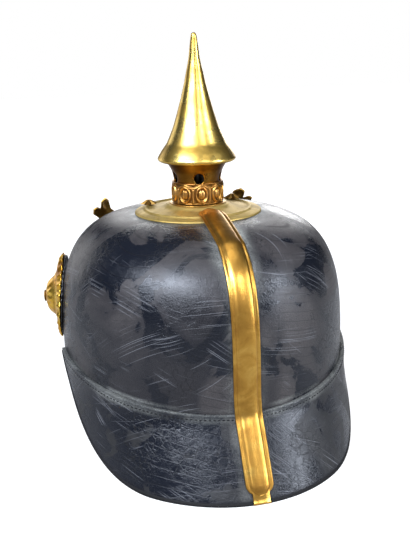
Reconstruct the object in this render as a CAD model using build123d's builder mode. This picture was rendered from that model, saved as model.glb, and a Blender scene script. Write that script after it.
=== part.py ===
"""A leather spiked helmet with brass fittings, as an assembly of its separate pieces.

Millimetres, +Z up. The helmet stands on its two brims at z = 0, the spike's axis is x = y = 0,
the front looks along -Y and the wearer's left is +X.
"""

import os
from math import atan2, cos, degrees, pi, radians, sin, sqrt

from build123d import *

os.makedirs("parts", exist_ok=True)

# Skull: the leather dome. Its outline is a squarish oval in side view.
skull_half_length = 94.8
skull_half_width = 87.0
skull_crown_height = 136.8
skull_wall_foot = 50.0
skull_wall = 2.6
crown_power = 3.4
side_power = 4.4
width_share = skull_half_width / skull_half_length

# Seam between the skull and its two brims: two slopes that meet over the sides.
seam_side_height = 60.5
seam_rear_height = 43.4
seam_front_height = 46.5
seam_peak_y = -8.0
skull_tuck = 6.5

# Brims: both are leather of one thickness, stitched to the skull by an upright collar.
brim_thickness = 2.3
leather_fit = 0.1
brim_bend = 4.0
guard_tip_y = 119.5
guard_edge_half_width = 92.0
guard_corner_y = 4.0
guard_corner_drop = 3.4
visor_tip_y = 133.0
visor_edge_half_width = 94.0
visor_corner_y = -35.0
visor_corner_drop = 2.2
edge_flat_angle = 30.0
edge_plan_power = 0.87
edge_rise_power = 3.0

# Brass trim on the front visor's edge.
trim_thickness = 0.8
trim_width = 5.0

# Brass spine down the back.
spine_width = 15.7
spine_channel_width = 11.4
spine_channel_height = 2.4
spine_sheet = 0.7
spine_top_y = 24.0
spine_lift = 0.35
hook_width = 9.6
hook_return = 8.0

# Base plate under the spike.
plate_radius = 38.9
plate_sheet = 0.9
plate_bead_radius = 32.3
plate_bead_rise = 2.2
plate_foot_rise = 5.4
plate_stud_turn = 58.0
plate_stud_radius = 5.4
plate_stud_height = 2.6
plate_stud_waist_share = 0.62
neck_foot_radius = 17.4

# Hollow neck with its vents, and the egg-and-dart ring round its waist.
neck_waist_radius = 14.2
neck_top_radius = 18.7
neck_wall = 1.0
neck_top_height = 167.4
ring_bottom_height = 142.9
ring_top_height = 155.2
vent_radius = 3.3
vent_height = 158.0
vent_count = 5
vent_turn = 79.5
egg_count = 9
egg_turn = 85.0
egg_width_share = 0.68
ring_sheet = 0.7
socket_depth = 7.5
bridge_holes = 8

# Spike.
spike_lip_radius = 23.8
spike_lip_height = 169.0
spike_tip_height = 242.4
spike_tip_radius = 1.5
spike_wall = 1.2
stud_radius = 4.0
stud_length = 15.0
stud_clearance = 0.15

# Side fittings: cockade, chin-scale end, rosette and the post that holds them.
side_post_y = -28.0
side_post_z = 82.5
side_turn = 10.0
rosette_radius = 26.2
rosette_lobes = 24
boss_radius = 13.4
boss_height = 9.6
rosette_sheet = 1.0
cockade_radius = 25.4
cockade_thickness = 1.2
cockade_stand = 0.8
end_plate_thickness = 1.0
end_plate_play = 0.75
end_ring_radius = 6.4
post_radius = 2.0
post_play = 0.45

# Chin scales, laid up over the front visor.
strap_front_z = 58.0
strap_front_y = -101.5
chin_centre = 20.0
strap_leather = 1.2
scale_sheet = 0.9
scale_count = 12
scale_first_turn = 56.0
scale_last_turn = 11.1
scale_pitch = 7.2
scale_lean = 11.5
scale_stand = 1.2
strap_width = 12.0
end_tab_length = 29.0
buckle_length = 19.0
buckle_height = 17.0
buckle_bar = 2.4
scale_end_width = 21.0
scale_front_width = 14.5

# Front plate.
eagle_crown_height = 146.0
eagle_stand = 3.2
eagle_sheet = 1.0
eagle_half_width = 57.0
eagle_foot_z = 66.0
eagle_tip_z = 136.6

# Lining.
band_thickness = 1.4
band_gap = 0.5
band_height = 34.0
finger_gap = 5.0
fitting_gap = 11.6
plain_gap_turns = (43.0, 107.0, 144.0)
finger_top_z = 122.0
finger_top_share = 0.36

# Shared small sizes.
fastener_radius = 1.5
washer_radius = 5.0
nut_radius = 3.6
nut_thickness = 2.2
washer_thickness = 0.8
side_washer_gap = 0.9
overrun = 40.0


def dome_point(turn, grow, crown):
    """Reach and height of the dome's outline: turn is 0 at the crown and 90 at the foot of the wall."""
    reach = (skull_half_length + grow) * sin(radians(turn)) ** (2 / side_power)
    rise = (crown + grow - skull_wall_foot) * cos(radians(turn)) ** (2 / crown_power)
    return (reach, skull_wall_foot + rise)


def dome_form(grow, crown=skull_crown_height):
    """Solid dome that follows the skull's outside, grown by a distance."""
    oval_share = (skull_half_width + grow) / (skull_half_length + grow)
    with BuildPart() as form:
        for turn in (6, 12, 20, 30, 42, 55, 66, 76, 84, 90):
            reach, height = dome_point(turn, grow, crown)
            with BuildSketch(Plane.XY.offset(height)):
                Ellipse(reach * oval_share, reach)
        for foot_share in (0.8, 0.5, 0):
            with BuildSketch(Plane.XY.offset(skull_wall_foot * foot_share)):
                Ellipse(skull_half_width + grow, skull_half_length + grow)
        loft()
    return form.part


def skull_reach(height):
    """Share of the skull's half length and width that is left at a height."""
    share = max(0, (height - skull_wall_foot) / (skull_crown_height - skull_wall_foot))
    return (1 - share ** crown_power) ** (1 / side_power)


def skull_height(radius):
    """Height of the skull's outside at a distance from the axis, along its length."""
    share = (1 - (radius / skull_half_length) ** side_power) ** (1 / crown_power)
    return skull_wall_foot + (skull_crown_height - skull_wall_foot) * share


def seam_height(y):
    """Height of the seam: it falls from over the side post to the front and to the rear."""
    if y > seam_peak_y:
        fall = (seam_side_height - seam_rear_height) / (skull_half_length - seam_peak_y)
    else:
        fall = (seam_side_height - seam_front_height) / (skull_half_length + seam_peak_y)
    return seam_side_height - fall * abs(y - seam_peak_y)


def flare_form(grow, edge_half_width, tip_y, bend_height):
    """Solid that follows a brim's outside: the skull's oval above the bend, flaring below it."""
    collar_width = skull_half_width + leather_fit + brim_thickness
    collar_length = skull_half_length + leather_fit + brim_thickness
    flare_shares = (
        (1.7, 0), (1.4, 0), (1.2, 0), (1.08, 0.004), (1.0, 0.025), (0.9, 0.1), (0.75, 0.25),
        (0.5, 0.5), (0.25, 0.75), (0, 1), (-0.25, 1.25),
    )
    with BuildPart() as form:
        for height_share, out_share in flare_shares:
            with BuildSketch(Plane.XY.offset(bend_height * height_share)):
                Ellipse(
                    collar_width + grow + out_share * (edge_half_width - collar_width),
                    collar_length + grow + out_share * (abs(tip_y) - collar_length),
                )
        loft()
    return form.part


def brim_side(corner_y, corner_drop, tip_y, inset=0):
    """Side view of a brim: its edge lies flat at the tip and climbs to its corner by the post.

    An inset moves the whole edge into the brim by that distance.
    """
    corner_z = seam_height(corner_y) - corner_drop
    edge = []
    for turn in (edge_flat_angle, 42, 53, 63, 72, 81, 90):
        reach = corner_y + (tip_y - corner_y) * cos(radians(turn)) ** edge_plan_power
        climb = ((turn - edge_flat_angle) / (90 - edge_flat_angle)) ** edge_rise_power
        edge.append((reach, climb * corner_z))
    outline = Spline(edge)
    inward = -inset if tip_y > 0 else inset
    if inset:
        edge = []
        for step in range(9):
            point, along = outline @ (step / 8), outline % (step / 8)
            edge.append((point.X - along.Y * inward, point.Y + along.X * inward))
    far_y = tip_y * 2
    with BuildSketch(Plane.YZ) as side:
        with BuildLine():
            Spline(edge)
            Polyline(
                edge[-1],
                (edge[-1][0], skull_crown_height),
                (far_y, skull_crown_height),
                (far_y, edge[0][1]),
                edge[0],
            )
        make_face()
    return side.sketch


def seam_side(drop):
    """Side view of all that lies above the seam, lowered by a drop."""
    rear_y = guard_tip_y * 2
    front_y = -visor_tip_y * 2
    with BuildSketch(Plane.YZ) as side:
        with BuildLine():
            Polyline(
                (front_y, seam_height(front_y) - drop),
                (seam_peak_y, seam_side_height - drop),
                (rear_y, seam_height(rear_y) - drop),
                (rear_y, spike_tip_height),
                (front_y, spike_tip_height),
                close=True,
            )
        make_face()
    return side.sketch


def side_plane(hand, stand):
    """Plane of a side fitting, square to its post; stand is the distance out from the skull."""
    reach = skull_reach(side_post_z)
    skull_x = skull_half_width * sqrt(reach ** 2 - (side_post_y / skull_half_length) ** 2)
    outward = Vector(hand * cos(radians(side_turn)), -sin(radians(side_turn)), 0)
    origin = Vector(hand * skull_x, side_post_y, side_post_z) + outward * stand
    return Plane(origin=origin, x_dir=(0, 0, 1), z_dir=outward)


def chin_point(turn, out=0):
    """Point of the chin strap's oval in its slanting plane: turn is 0 at the front."""
    return (
        (chin_half_width + out) * sin(radians(turn)),
        chin_centre - (chin_half_length + out) * cos(radians(turn)),
    )


# Sizes that several pieces share, worked out from the values above.
guard_bend = seam_rear_height - brim_bend / 2
visor_bend = seam_front_height - brim_bend
plate_edge_z = skull_height(plate_radius)
plate_top_z = plate_edge_z + plate_foot_rise
eagle_post_x = eagle_half_width * 0.42
eagle_post_z = eagle_foot_z + (eagle_tip_z - eagle_foot_z) * 0.5
spine_post_heights = [skull_wall_foot * share for share in (1.28, 1.8)]
plate_stud_turns = [-90 + front_turn for front_turn in (-plate_stud_turn, plate_stud_turn)]
end_plate_stand = cockade_stand + cockade_thickness + end_plate_play
rosette_stand = end_plate_stand + end_plate_thickness + end_plate_play

# The chin strap lies in a plane that slopes from the side posts to the front of the helmet.
chin_slope = degrees(atan2(side_post_z - strap_front_z, side_post_y - strap_front_y))
chin_plane = Plane(
    origin=(0, side_post_y, side_post_z),
    x_dir=(1, 0, 0),
    z_dir=(0, -sin(radians(chin_slope)), cos(radians(chin_slope))),
)
end_centre = side_plane(1, end_plate_stand + end_plate_thickness / 2).origin
chin_half_length = chin_centre + (side_post_y - strap_front_y) / cos(radians(chin_slope))
tab_end_x = end_centre.X - end_tab_length * sin(radians(side_turn))
tab_end_y = end_tab_length * cos(radians(side_turn))
chin_half_width = tab_end_x / sqrt(1 - ((chin_centre + tab_end_y) / chin_half_length) ** 2)

skull_outside = dome_form(0)
skull_inside = dome_form(-skull_wall)
above_rim = seam_side(skull_tuck)
above_seam = seam_side(0)

# Skull: moulded leather, with the crown vent and the holes of its fittings.
with BuildPart() as skull:
    add(skull_outside)
    add(skull_inside, mode=Mode.SUBTRACT)
    extrude(above_rim, amount=skull_half_width * 2, both=True, mode=Mode.INTERSECT)
    with BuildSketch(Plane.XY.offset(skull_crown_height - overrun / 2)):
        Circle(neck_waist_radius - neck_wall)
        for stud_turn in plate_stud_turns:
            with PolarLocations(plate_bead_radius, 1, start_angle=stud_turn):
                Circle(fastener_radius + leather_fit)
    extrude(amount=overrun, mode=Mode.SUBTRACT)
    for hand in (-1, 1):
        with BuildSketch(side_plane(hand, -overrun / 2)):
            Circle(post_radius + leather_fit)
        extrude(amount=overrun, mode=Mode.SUBTRACT)
    with BuildSketch(Plane.XZ):
        with Locations((-eagle_post_x, eagle_post_z), (eagle_post_x, eagle_post_z)):
            Circle(fastener_radius + leather_fit)
    extrude(amount=skull_half_length * 2, mode=Mode.SUBTRACT)
    with BuildSketch(Plane.XZ):
        with Locations(*[(0, height) for height in spine_post_heights]):
            Circle(fastener_radius + leather_fit)
    extrude(amount=-skull_half_length * 2, mode=Mode.SUBTRACT)
skull.part.label = "skull"
export_step(skull.part, "parts/skull.step")

# Neck guard: the rear brim, with a notch in its edge for the spine's hook.
guard_outside = flare_form(0, guard_edge_half_width, guard_tip_y, guard_bend)
guard_inside = flare_form(-brim_thickness, guard_edge_half_width, guard_tip_y, guard_bend)
guard_side = brim_side(guard_corner_y, guard_corner_drop, guard_tip_y)
with BuildPart() as neck_guard:
    extrude(guard_side, amount=guard_tip_y, both=True)
    extrude(above_seam, amount=guard_tip_y, both=True, mode=Mode.SUBTRACT)
    add(guard_outside, mode=Mode.INTERSECT)
    add(guard_inside, mode=Mode.SUBTRACT)
    with BuildSketch(Plane.XY):
        with Locations((0, guard_tip_y)):
            Rectangle(hook_width + 2 * leather_fit, overrun)
    extrude(amount=spine_sheet + leather_fit, mode=Mode.SUBTRACT)
neck_guard.part.label = "neck_guard"
export_step(neck_guard.part, "parts/neck_guard.step")

# Front visor: its leather edge sits inside the brass trim.
visor_outside = flare_form(0, visor_edge_half_width, visor_tip_y, visor_bend)
visor_inside = flare_form(-brim_thickness, visor_edge_half_width, visor_tip_y, visor_bend)
visor_side = brim_side(visor_corner_y, visor_corner_drop, -visor_tip_y)
leather_side = brim_side(
    visor_corner_y, visor_corner_drop, -visor_tip_y, trim_thickness + leather_fit
)
clear_side = brim_side(visor_corner_y, visor_corner_drop, -visor_tip_y, trim_width)
with BuildPart() as front_visor:
    extrude(leather_side, amount=visor_tip_y, both=True)
    extrude(above_seam, amount=visor_tip_y, both=True, mode=Mode.SUBTRACT)
    add(visor_outside, mode=Mode.INTERSECT)
    add(visor_inside, mode=Mode.SUBTRACT)
front_visor.part.label = "front_visor"
export_step(front_visor.part, "parts/front_visor.step")

# Visor trim: a brass channel bent round the edge, a sheet's thickness proud on both faces.
trim_outside = flare_form(trim_thickness, visor_edge_half_width, visor_tip_y, visor_bend)
trim_inside = flare_form(
    -brim_thickness - trim_thickness, visor_edge_half_width, visor_tip_y, visor_bend
)
with BuildPart() as visor_trim:
    extrude(visor_side, amount=visor_tip_y, both=True)
    extrude(clear_side, amount=visor_tip_y, both=True, mode=Mode.SUBTRACT)
    extrude(above_seam, amount=visor_tip_y, both=True, mode=Mode.SUBTRACT)
    add(trim_outside, mode=Mode.INTERSECT)
    add(trim_inside, mode=Mode.SUBTRACT)
    add(skull_outside, mode=Mode.SUBTRACT)
    add(front_visor.part, mode=Mode.SUBTRACT)
visor_trim.part.label = "visor_trim"
export_step(visor_trim.part, "parts/visor_trim.step")

# Rear spine: a brass strip with a raised channel, from the base plate down over the neck guard.
slope_reach = guard_tip_y - skull_half_length - leather_fit - brim_thickness
slope_angle = atan2(slope_reach, guard_bend)
spine_points = [
    (spine_top_y, plate_top_z - plate_sheet),
    (plate_radius, plate_edge_z + plate_bead_rise + spine_lift),
]
for turn in (26, 34, 42, 51, 60, 69, 78, 86):
    spine_points.append(dome_point(turn, spine_lift, skull_crown_height))
for height_share, step_share in ((1.3, 0), (1.12, 0.5)):
    spine_points.append((
        skull_half_length + spine_lift + step_share * brim_thickness,
        guard_bend * height_share,
    ))
for height_share in (0.92, 0.7, 0.4, 0.13):
    spine_points.append((
        guard_tip_y - slope_reach * height_share + spine_lift / cos(slope_angle),
        guard_bend * height_share,
    ))
with BuildPart() as rear_spine:
    with BuildLine() as spine_line:
        Spline([(0, y, z) for y, z in spine_points])
    spine_start = Plane(
        origin=spine_line.line @ 0, x_dir=(-1, 0, 0), z_dir=spine_line.line % 0
    )
    with BuildSketch(spine_start):
        with BuildLine():
            half = spine_width / 2
            rise = spine_channel_width / 2
            crest = ThreePointArc(
                (-rise, spine_sheet), (0, spine_channel_height), (rise, spine_sheet)
            )
            hollow = ThreePointArc(
                (rise - spine_sheet, 0),
                (0, spine_channel_height - spine_sheet),
                (-rise + spine_sheet, 0),
            )
            Polyline(crest @ 1, (half, spine_sheet), (half, 0), hollow @ 0)
            Polyline(hollow @ 1, (-half, 0), (-half, spine_sheet), crest @ 0)
        make_face()
    sweep()
    with BuildSketch(Plane.XY.offset(plate_edge_z)) as top_corners:
        with Locations((0, spine_top_y)):
            Rectangle(spine_width * 2, spine_width)
        with Locations((0, spine_top_y + spine_width / 2)):
            Circle(spine_width / 2, mode=Mode.SUBTRACT)
    extrude(amount=overrun, mode=Mode.SUBTRACT)
    with BuildSketch(Plane.YZ):
        with BuildLine():
            hook_out = spine_lift + spine_sheet / 2
            hook_start = guard_bend * 0.3
            FilletPolyline(
                (
                    guard_tip_y - slope_reach * hook_start / guard_bend + hook_out / cos(slope_angle),
                    hook_start,
                ),
                (guard_tip_y + hook_out / cos(slope_angle), spine_sheet / 2),
                (
                    guard_tip_y - (brim_thickness + leather_fit + spine_sheet) / cos(slope_angle),
                    spine_sheet / 2,
                ),
                (
                    guard_tip_y
                    - (brim_thickness + leather_fit + spine_sheet) / cos(slope_angle)
                    - hook_return * sin(slope_angle),
                    spine_sheet / 2 + hook_return * cos(slope_angle),
                ),
                radius=spine_sheet,
            )
        trace(line_width=spine_sheet)
    extrude(amount=hook_width / 2, both=True)
rear_spine.part.label = "rear_spine"
export_step(rear_spine.part, "parts/rear_spine.step")

# Spine posts: short rivets from the spine's channel through the skull, with washers inside.
with BuildPart() as spine_posts:
    for height in spine_post_heights:
        outside_y = skull_half_length * skull_reach(height)
        washer_y = skull_half_length * skull_reach(height + washer_radius) - skull_wall
        with BuildSketch(Plane.XZ.offset(-outside_y - spine_channel_height / 2)):
            with Locations((0, height)):
                Circle(fastener_radius)
        extrude(amount=outside_y - washer_y + spine_channel_height / 2 + washer_thickness * 2)
        with BuildSketch(Plane.XZ.offset(-washer_y + leather_fit * 3)):
            with Locations((0, height)):
                Circle(washer_radius)
        extrude(amount=washer_thickness)
spine_posts.part.label = "spine_posts"
export_step(spine_posts.part, "parts/spine_posts.step")

# Base plate: a spun brass disc that lies on the crown, with a bead and a hollow rise to the neck.
with BuildPart() as base_plate:
    with BuildSketch(Plane.XZ):
        with BuildLine():
            Spline(
                (plate_radius - plate_sheet / 2, plate_edge_z + plate_sheet / 2),
                (plate_bead_radius, plate_edge_z + plate_bead_rise),
                (
                    (plate_bead_radius + neck_foot_radius) / 2,
                    plate_edge_z + plate_bead_rise * 1.25,
                ),
                (neck_foot_radius, plate_top_z - plate_sheet / 2),
            )
        trace(line_width=plate_sheet)
    revolve(axis=Axis.Z)
    with BuildSketch(Plane.XZ):
        with Locations((plate_bead_radius, plate_edge_z + plate_bead_rise)):
            Circle(plate_sheet)
    revolve(axis=Axis.Z)
    with BuildSketch(Plane.XY.offset(plate_edge_z)):
        for stud_turn in plate_stud_turns:
            with PolarLocations(plate_bead_radius, 1, start_angle=stud_turn):
                Circle(fastener_radius + leather_fit)
    extrude(amount=overrun, mode=Mode.SUBTRACT)
base_plate.part.label = "base_plate"
export_step(base_plate.part, "parts/base_plate.step")

# Plate studs: eight-pointed star heads on screws that clamp the base plate to the crown.
stud_foot_z = plate_edge_z + plate_bead_rise + plate_sheet + leather_fit
star_points = []
for point in range(16):
    point_radius = plate_stud_radius * (1 if point % 2 == 0 else plate_stud_waist_share)
    star_points.append((point_radius * cos(pi * point / 8), point_radius * sin(pi * point / 8)))
with BuildPart() as plate_studs:
    for stud_turn in plate_stud_turns:
        stud_x = plate_bead_radius * cos(radians(stud_turn))
        stud_y = plate_bead_radius * sin(radians(stud_turn))
        with BuildSketch(Plane.XY.offset(stud_foot_z)):
            with Locations((stud_x, stud_y)):
                Polygon(*star_points, align=None)
        with BuildSketch(Plane.XY.offset(stud_foot_z + plate_stud_height)):
            with Locations((stud_x, stud_y)):
                Polygon(*[(x / 4, y / 4) for x, y in star_points], align=None)
        loft(ruled=True)
        with BuildSketch(Plane.XY.offset(stud_foot_z)):
            with Locations((stud_x, stud_y)):
                Circle(fastener_radius)
        extrude(amount=-plate_bead_rise - skull_wall - nut_thickness * 3)
plate_studs.part.label = "plate_studs"
export_step(plate_studs.part, "parts/plate_studs.step")

# Plate nuts: a washer and a square nut under the crown for each stud.
with BuildPart() as plate_nuts:
    for stud_turn in plate_stud_turns:
        under_z = skull_height((plate_bead_radius + washer_radius) / width_share)
        under_z = under_z - skull_wall - leather_fit
        with BuildSketch(Plane.XY.offset(under_z)) as washer_face:
            with PolarLocations(plate_bead_radius, 1, start_angle=stud_turn):
                Circle(washer_radius)
                Circle(fastener_radius + leather_fit, mode=Mode.SUBTRACT)
        extrude(amount=-washer_thickness)
        with BuildSketch(Plane.XY.offset(under_z - washer_thickness)) as nut_face:
            with PolarLocations(plate_bead_radius, 1, start_angle=stud_turn):
                Rectangle(nut_radius * 2, nut_radius * 2)
                Circle(fastener_radius + leather_fit, mode=Mode.SUBTRACT)
        extrude(amount=-nut_thickness)
plate_nuts.part.label = "plate_nuts"
export_step(plate_nuts.part, "parts/plate_nuts.step")

# Spike neck: a spun brass trumpet, hollow and open at the foot, with a ring of vents.
neck_foot_z = plate_top_z
neck_shares = ((0, 0), (0.2, 0), (0.45, 0), (0.62, 0.06), (0.8, 0.33), (0.92, 0.72))
neck_line = []
for height_share, flare_share in neck_shares:
    neck_line.append((
        neck_waist_radius
        + (neck_top_radius - neck_waist_radius) * flare_share
        - neck_wall / 2,
        neck_foot_z + (neck_top_height - neck_foot_z) * height_share,
    ))
neck_line.append((neck_top_radius, neck_top_height + neck_wall))
with BuildPart() as spike_neck:
    with BuildSketch(Plane.XZ):
        with BuildLine():
            Spline(neck_line)
        trace(line_width=neck_wall)
    revolve(axis=Axis.Z)
    split(bisect_by=Plane.XY.offset(neck_top_height), keep=Keep.BOTTOM)
    split(bisect_by=Plane.XY.offset(neck_foot_z), keep=Keep.TOP)
    with BuildSketch(Plane.XY.offset(neck_foot_z)):
        Circle(neck_foot_radius)
        Circle(neck_waist_radius - neck_wall / 2, mode=Mode.SUBTRACT)
    extrude(amount=neck_wall * 0.6)
    for vent in range(vent_count):
        vent_angle = radians(vent_turn + vent * 360 / vent_count)
        with BuildSketch(
            Plane(
                origin=(0, 0, vent_height),
                x_dir=(0, 0, 1),
                z_dir=(cos(vent_angle), sin(vent_angle), 0),
            )
        ):
            Circle(vent_radius)
        extrude(amount=neck_top_radius * 2, mode=Mode.SUBTRACT)
spike_neck.part.label = "spike_neck"
export_step(spike_neck.part, "parts/spike_neck.step")

# Egg ring: a pressed egg-and-dart band round the waist of the neck.
ring_inner = neck_waist_radius + leather_fit
ring_height = ring_top_height - ring_bottom_height
ring_middle = (ring_top_height + ring_bottom_height) / 2
egg_width = 2 * pi * neck_waist_radius / egg_count * egg_width_share
egg_face = Plane(origin=(ring_inner, 0, ring_middle), x_dir=(0, 1, 0), z_dir=(1, 0, 0))
with BuildPart() as egg:
    with BuildSketch(egg_face):
        Ellipse(egg_width / 2, ring_height * 0.43)
        Ellipse(egg_width / 2 - ring_sheet, ring_height * 0.43 - ring_sheet, mode=Mode.SUBTRACT)
        Ellipse(egg_width / 2 - ring_sheet * 2, ring_height * 0.43 - ring_sheet * 2)
    extrude(amount=ring_sheet * 2)
with BuildPart() as dart:
    with BuildSketch(egg_face):
        with Locations((0, ring_height * 0.08)):
            Ellipse(egg_width * 0.12, ring_height * 0.3)
    extrude(amount=ring_sheet * 2)
with BuildPart() as egg_ring:
    with BuildSketch(Plane.XZ):
        with Locations((ring_inner + ring_sheet / 2, ring_middle)):
            Rectangle(ring_sheet, ring_height)
        with Locations(
            (ring_inner + ring_sheet * 0.75, ring_bottom_height),
            (ring_inner + ring_sheet * 0.75, ring_top_height),
        ):
            Circle(ring_sheet * 0.75)
    revolve(axis=Axis.Z)
    with PolarLocations(0, egg_count, start_angle=egg_turn):
        add(egg.part)
    with PolarLocations(0, egg_count, start_angle=egg_turn + 180 / egg_count):
        add(dart.part)
egg_ring.part.label = "egg_ring"
export_step(egg_ring.part, "parts/egg_ring.step")

# Neck bridge: a pierced disc soldered inside the neck, with the socket for the spike's stud.
bridge_z = ring_middle
with BuildPart() as neck_bridge:
    with BuildSketch(Plane.XY.offset(bridge_z)):
        Circle(neck_waist_radius - neck_wall - leather_fit * 3)
        with PolarLocations((stud_radius + neck_waist_radius) / 2 + neck_wall / 2, bridge_holes):
            Circle(fastener_radius, mode=Mode.SUBTRACT)
    extrude(amount=neck_wall * 2)
    with BuildSketch(Plane.XY.offset(bridge_z - socket_depth / 3)):
        Circle(stud_radius + neck_wall * 2)
    extrude(amount=socket_depth)
    with BuildSketch(Plane.XY.offset(bridge_z - socket_depth)):
        Circle(stud_radius + stud_clearance)
    extrude(amount=socket_depth * 2, mode=Mode.SUBTRACT)
neck_bridge.part.label = "neck_bridge"
export_step(neck_bridge.part, "parts/neck_bridge.step")

# Spike cone: spun brass, hollow, its rolled lip seated on the neck's flat rim.
spike_shares = (
    (0.035, 0.962), (0.067, 0.887), (0.13, 0.748), (0.195, 0.66), (0.32, 0.517), (0.51, 0.349),
    (0.7, 0.21), (0.86, 0.12),
)
spike_reach = spike_tip_height - spike_lip_height
outer_line = [(spike_lip_radius, spike_lip_height)]
for height_share, radius_share in spike_shares:
    outer_line.append((spike_lip_radius * radius_share, spike_lip_height + spike_reach * height_share))
outer_line.append((spike_tip_radius, spike_tip_height - spike_tip_radius))
inner_line = [(neck_top_radius - neck_wall, neck_top_height + spike_wall * 2)]
for height_share, radius_share in spike_shares[2:7]:
    inner_line.append((
        spike_lip_radius * radius_share - spike_wall,
        spike_lip_height + spike_reach * height_share,
    ))
with BuildPart() as spike_cone:
    with BuildSketch(Plane.XZ):
        with BuildLine():
            outer = Spline(outer_line)
            tip = ThreePointArc(
                outer @ 1,
                (
                    spike_tip_radius * sin(radians(45)),
                    spike_tip_height - spike_tip_radius * (1 - cos(radians(45))),
                ),
                (0, spike_tip_height),
            )
            inner = Spline(inner_line)
            lip = ThreePointArc(
                outer @ 0,
                (spike_lip_radius - spike_wall / 3, spike_lip_height - spike_wall),
                (spike_lip_radius - spike_wall, neck_top_height),
            )
            Polyline(
                lip @ 1,
                (neck_top_radius - neck_wall * 1.5, neck_top_height),
                (neck_top_radius - neck_wall * 1.5, neck_top_height + spike_wall),
                inner @ 0,
            )
            Polyline(inner @ 1, (0, (inner @ 1).Y), tip @ 1)
        make_face()
    revolve(axis=Axis.Z)
spike_cone.part.label = "spike_cone"
export_step(spike_cone.part, "parts/spike_cone.step")

# Spike stud: the threaded stud, shown plain, on the disc that is soldered inside the cone.
with BuildPart() as spike_stud:
    with BuildSketch(Plane.XZ):
        with BuildLine():
            disc_radius = neck_top_radius - neck_wall * 1.5 - leather_fit
            disc_top = neck_top_height + spike_wall
            stud_foot = neck_top_height - stud_length
            Polyline(
                (0, disc_top),
                (disc_radius, disc_top),
                (disc_radius, neck_top_height),
                (stud_radius, neck_top_height),
                (stud_radius, stud_foot + stud_radius / 4),
                (stud_radius * 3 / 4, stud_foot),
                (0, stud_foot),
                close=True,
            )
        make_face()
    revolve(axis=Axis.Z)
spike_stud.part.label = "spike_stud"
export_step(spike_stud.part, "parts/spike_stud.step")

# Front plate: a pressed brass eagle with spread wings, bent to the front of the skull.
eagle_height = eagle_tip_z - eagle_foot_z
wing_shares = (
    (0, 0), (0.1, 0.02), (0.2, 0.1), (0.11, 0.2), (0.3, 0.1), (0.38, 0.17), (0.32, 0.22),
    (0.46, 0.2), (0.5, 0.27), (0.6, 0.27), (0.62, 0.36), (0.72, 0.38), (0.72, 0.48), (0.82, 0.52),
    (0.81, 0.62), (0.91, 0.68), (0.89, 0.77), (0.985, 0.84), (0.985, 0.9), (0.94, 0.92),
    (0.89, 0.89), (0.89, 0.97), (0.84, 1.0), (0.79, 0.97), (0.75, 0.86), (0.64, 0.78), (0.48, 0.71),
    (0.3, 0.67), (0.2, 0.67), (0.165, 0.7), (0.14, 0.74), (0.125, 0.79), (0.0, 0.79),
)
body_shares = (
    (0, 0.02), (0.08, 0.03), (0.14, 0.12), (0.1, 0.24), (0.22, 0.34), (0.25, 0.5), (0.2, 0.63),
    (0.12, 0.66), (0.1, 0.71), (0, 0.745),
)
plate_form_out = dome_form(eagle_stand + eagle_sheet, eagle_crown_height)
plate_form_in = dome_form(eagle_stand, eagle_crown_height)
relief_form = dome_form(eagle_stand + eagle_sheet * 2.2, eagle_crown_height)
eagle_cut = Plane.XZ.offset(skull_half_length / 4)
with BuildPart() as eagle_breast:
    with BuildSketch(eagle_cut):
        with BuildLine():
            half_body = Spline([
                (x * eagle_half_width, eagle_foot_z + z * eagle_height) for x, z in body_shares
            ])
            Line(half_body @ 1, half_body @ 0)
        make_face()
        mirror(about=Plane.YZ)
    extrude(amount=skull_half_length)
    add(relief_form, mode=Mode.INTERSECT)
with BuildPart() as front_plate:
    with BuildSketch(eagle_cut):
        with BuildLine():
            half_wing = Polyline([
                (x * eagle_half_width, eagle_foot_z + z * eagle_height) for x, z in wing_shares
            ])
            Line(half_wing @ 1, half_wing @ 0)
        make_face()
        mirror(about=Plane.YZ)
        with Locations((0, eagle_foot_z + eagle_height * 0.805)):
            Ellipse(eagle_half_width * 0.17, eagle_height * 0.07)
    extrude(amount=skull_half_length)
    add(plate_form_out, mode=Mode.INTERSECT)
    add(eagle_breast.part)
    add(plate_form_in, mode=Mode.SUBTRACT)
front_plate.part.label = "front_plate"
export_step(front_plate.part, "parts/front_plate.step")

# Plate posts: two screws brazed to the back of the front plate, through the skull.
eagle_post_y = -skull_half_length * sqrt(
    skull_reach(eagle_post_z) ** 2 - (eagle_post_x / skull_half_width) ** 2
)
nut_inner_y = -eagle_post_y - skull_wall * 2.2 - nut_thickness
with BuildPart() as front_plate_posts:
    with BuildSketch(Plane.XZ.offset(nut_inner_y)):
        with Locations((-eagle_post_x, eagle_post_z), (eagle_post_x, eagle_post_z)):
            Circle(fastener_radius)
    extrude(amount=overrun)
    add(plate_form_in, mode=Mode.INTERSECT)
front_plate_posts.part.label = "front_plate_posts"
export_step(front_plate_posts.part, "parts/front_plate_posts.step")

# Front plate nuts: a square nut on each post, inside the skull.
with BuildPart() as front_plate_nuts:
    with BuildSketch(Plane.XZ.offset(nut_inner_y)):
        with Locations((-eagle_post_x, eagle_post_z), (eagle_post_x, eagle_post_z)):
            Rectangle(nut_radius * 2, nut_radius * 2)
            Circle(fastener_radius + leather_fit, mode=Mode.SUBTRACT)
    extrude(amount=nut_thickness)
front_plate_nuts.part.label = "front_plate_nuts"
export_step(front_plate_nuts.part, "parts/front_plate_nuts.step")

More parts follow.
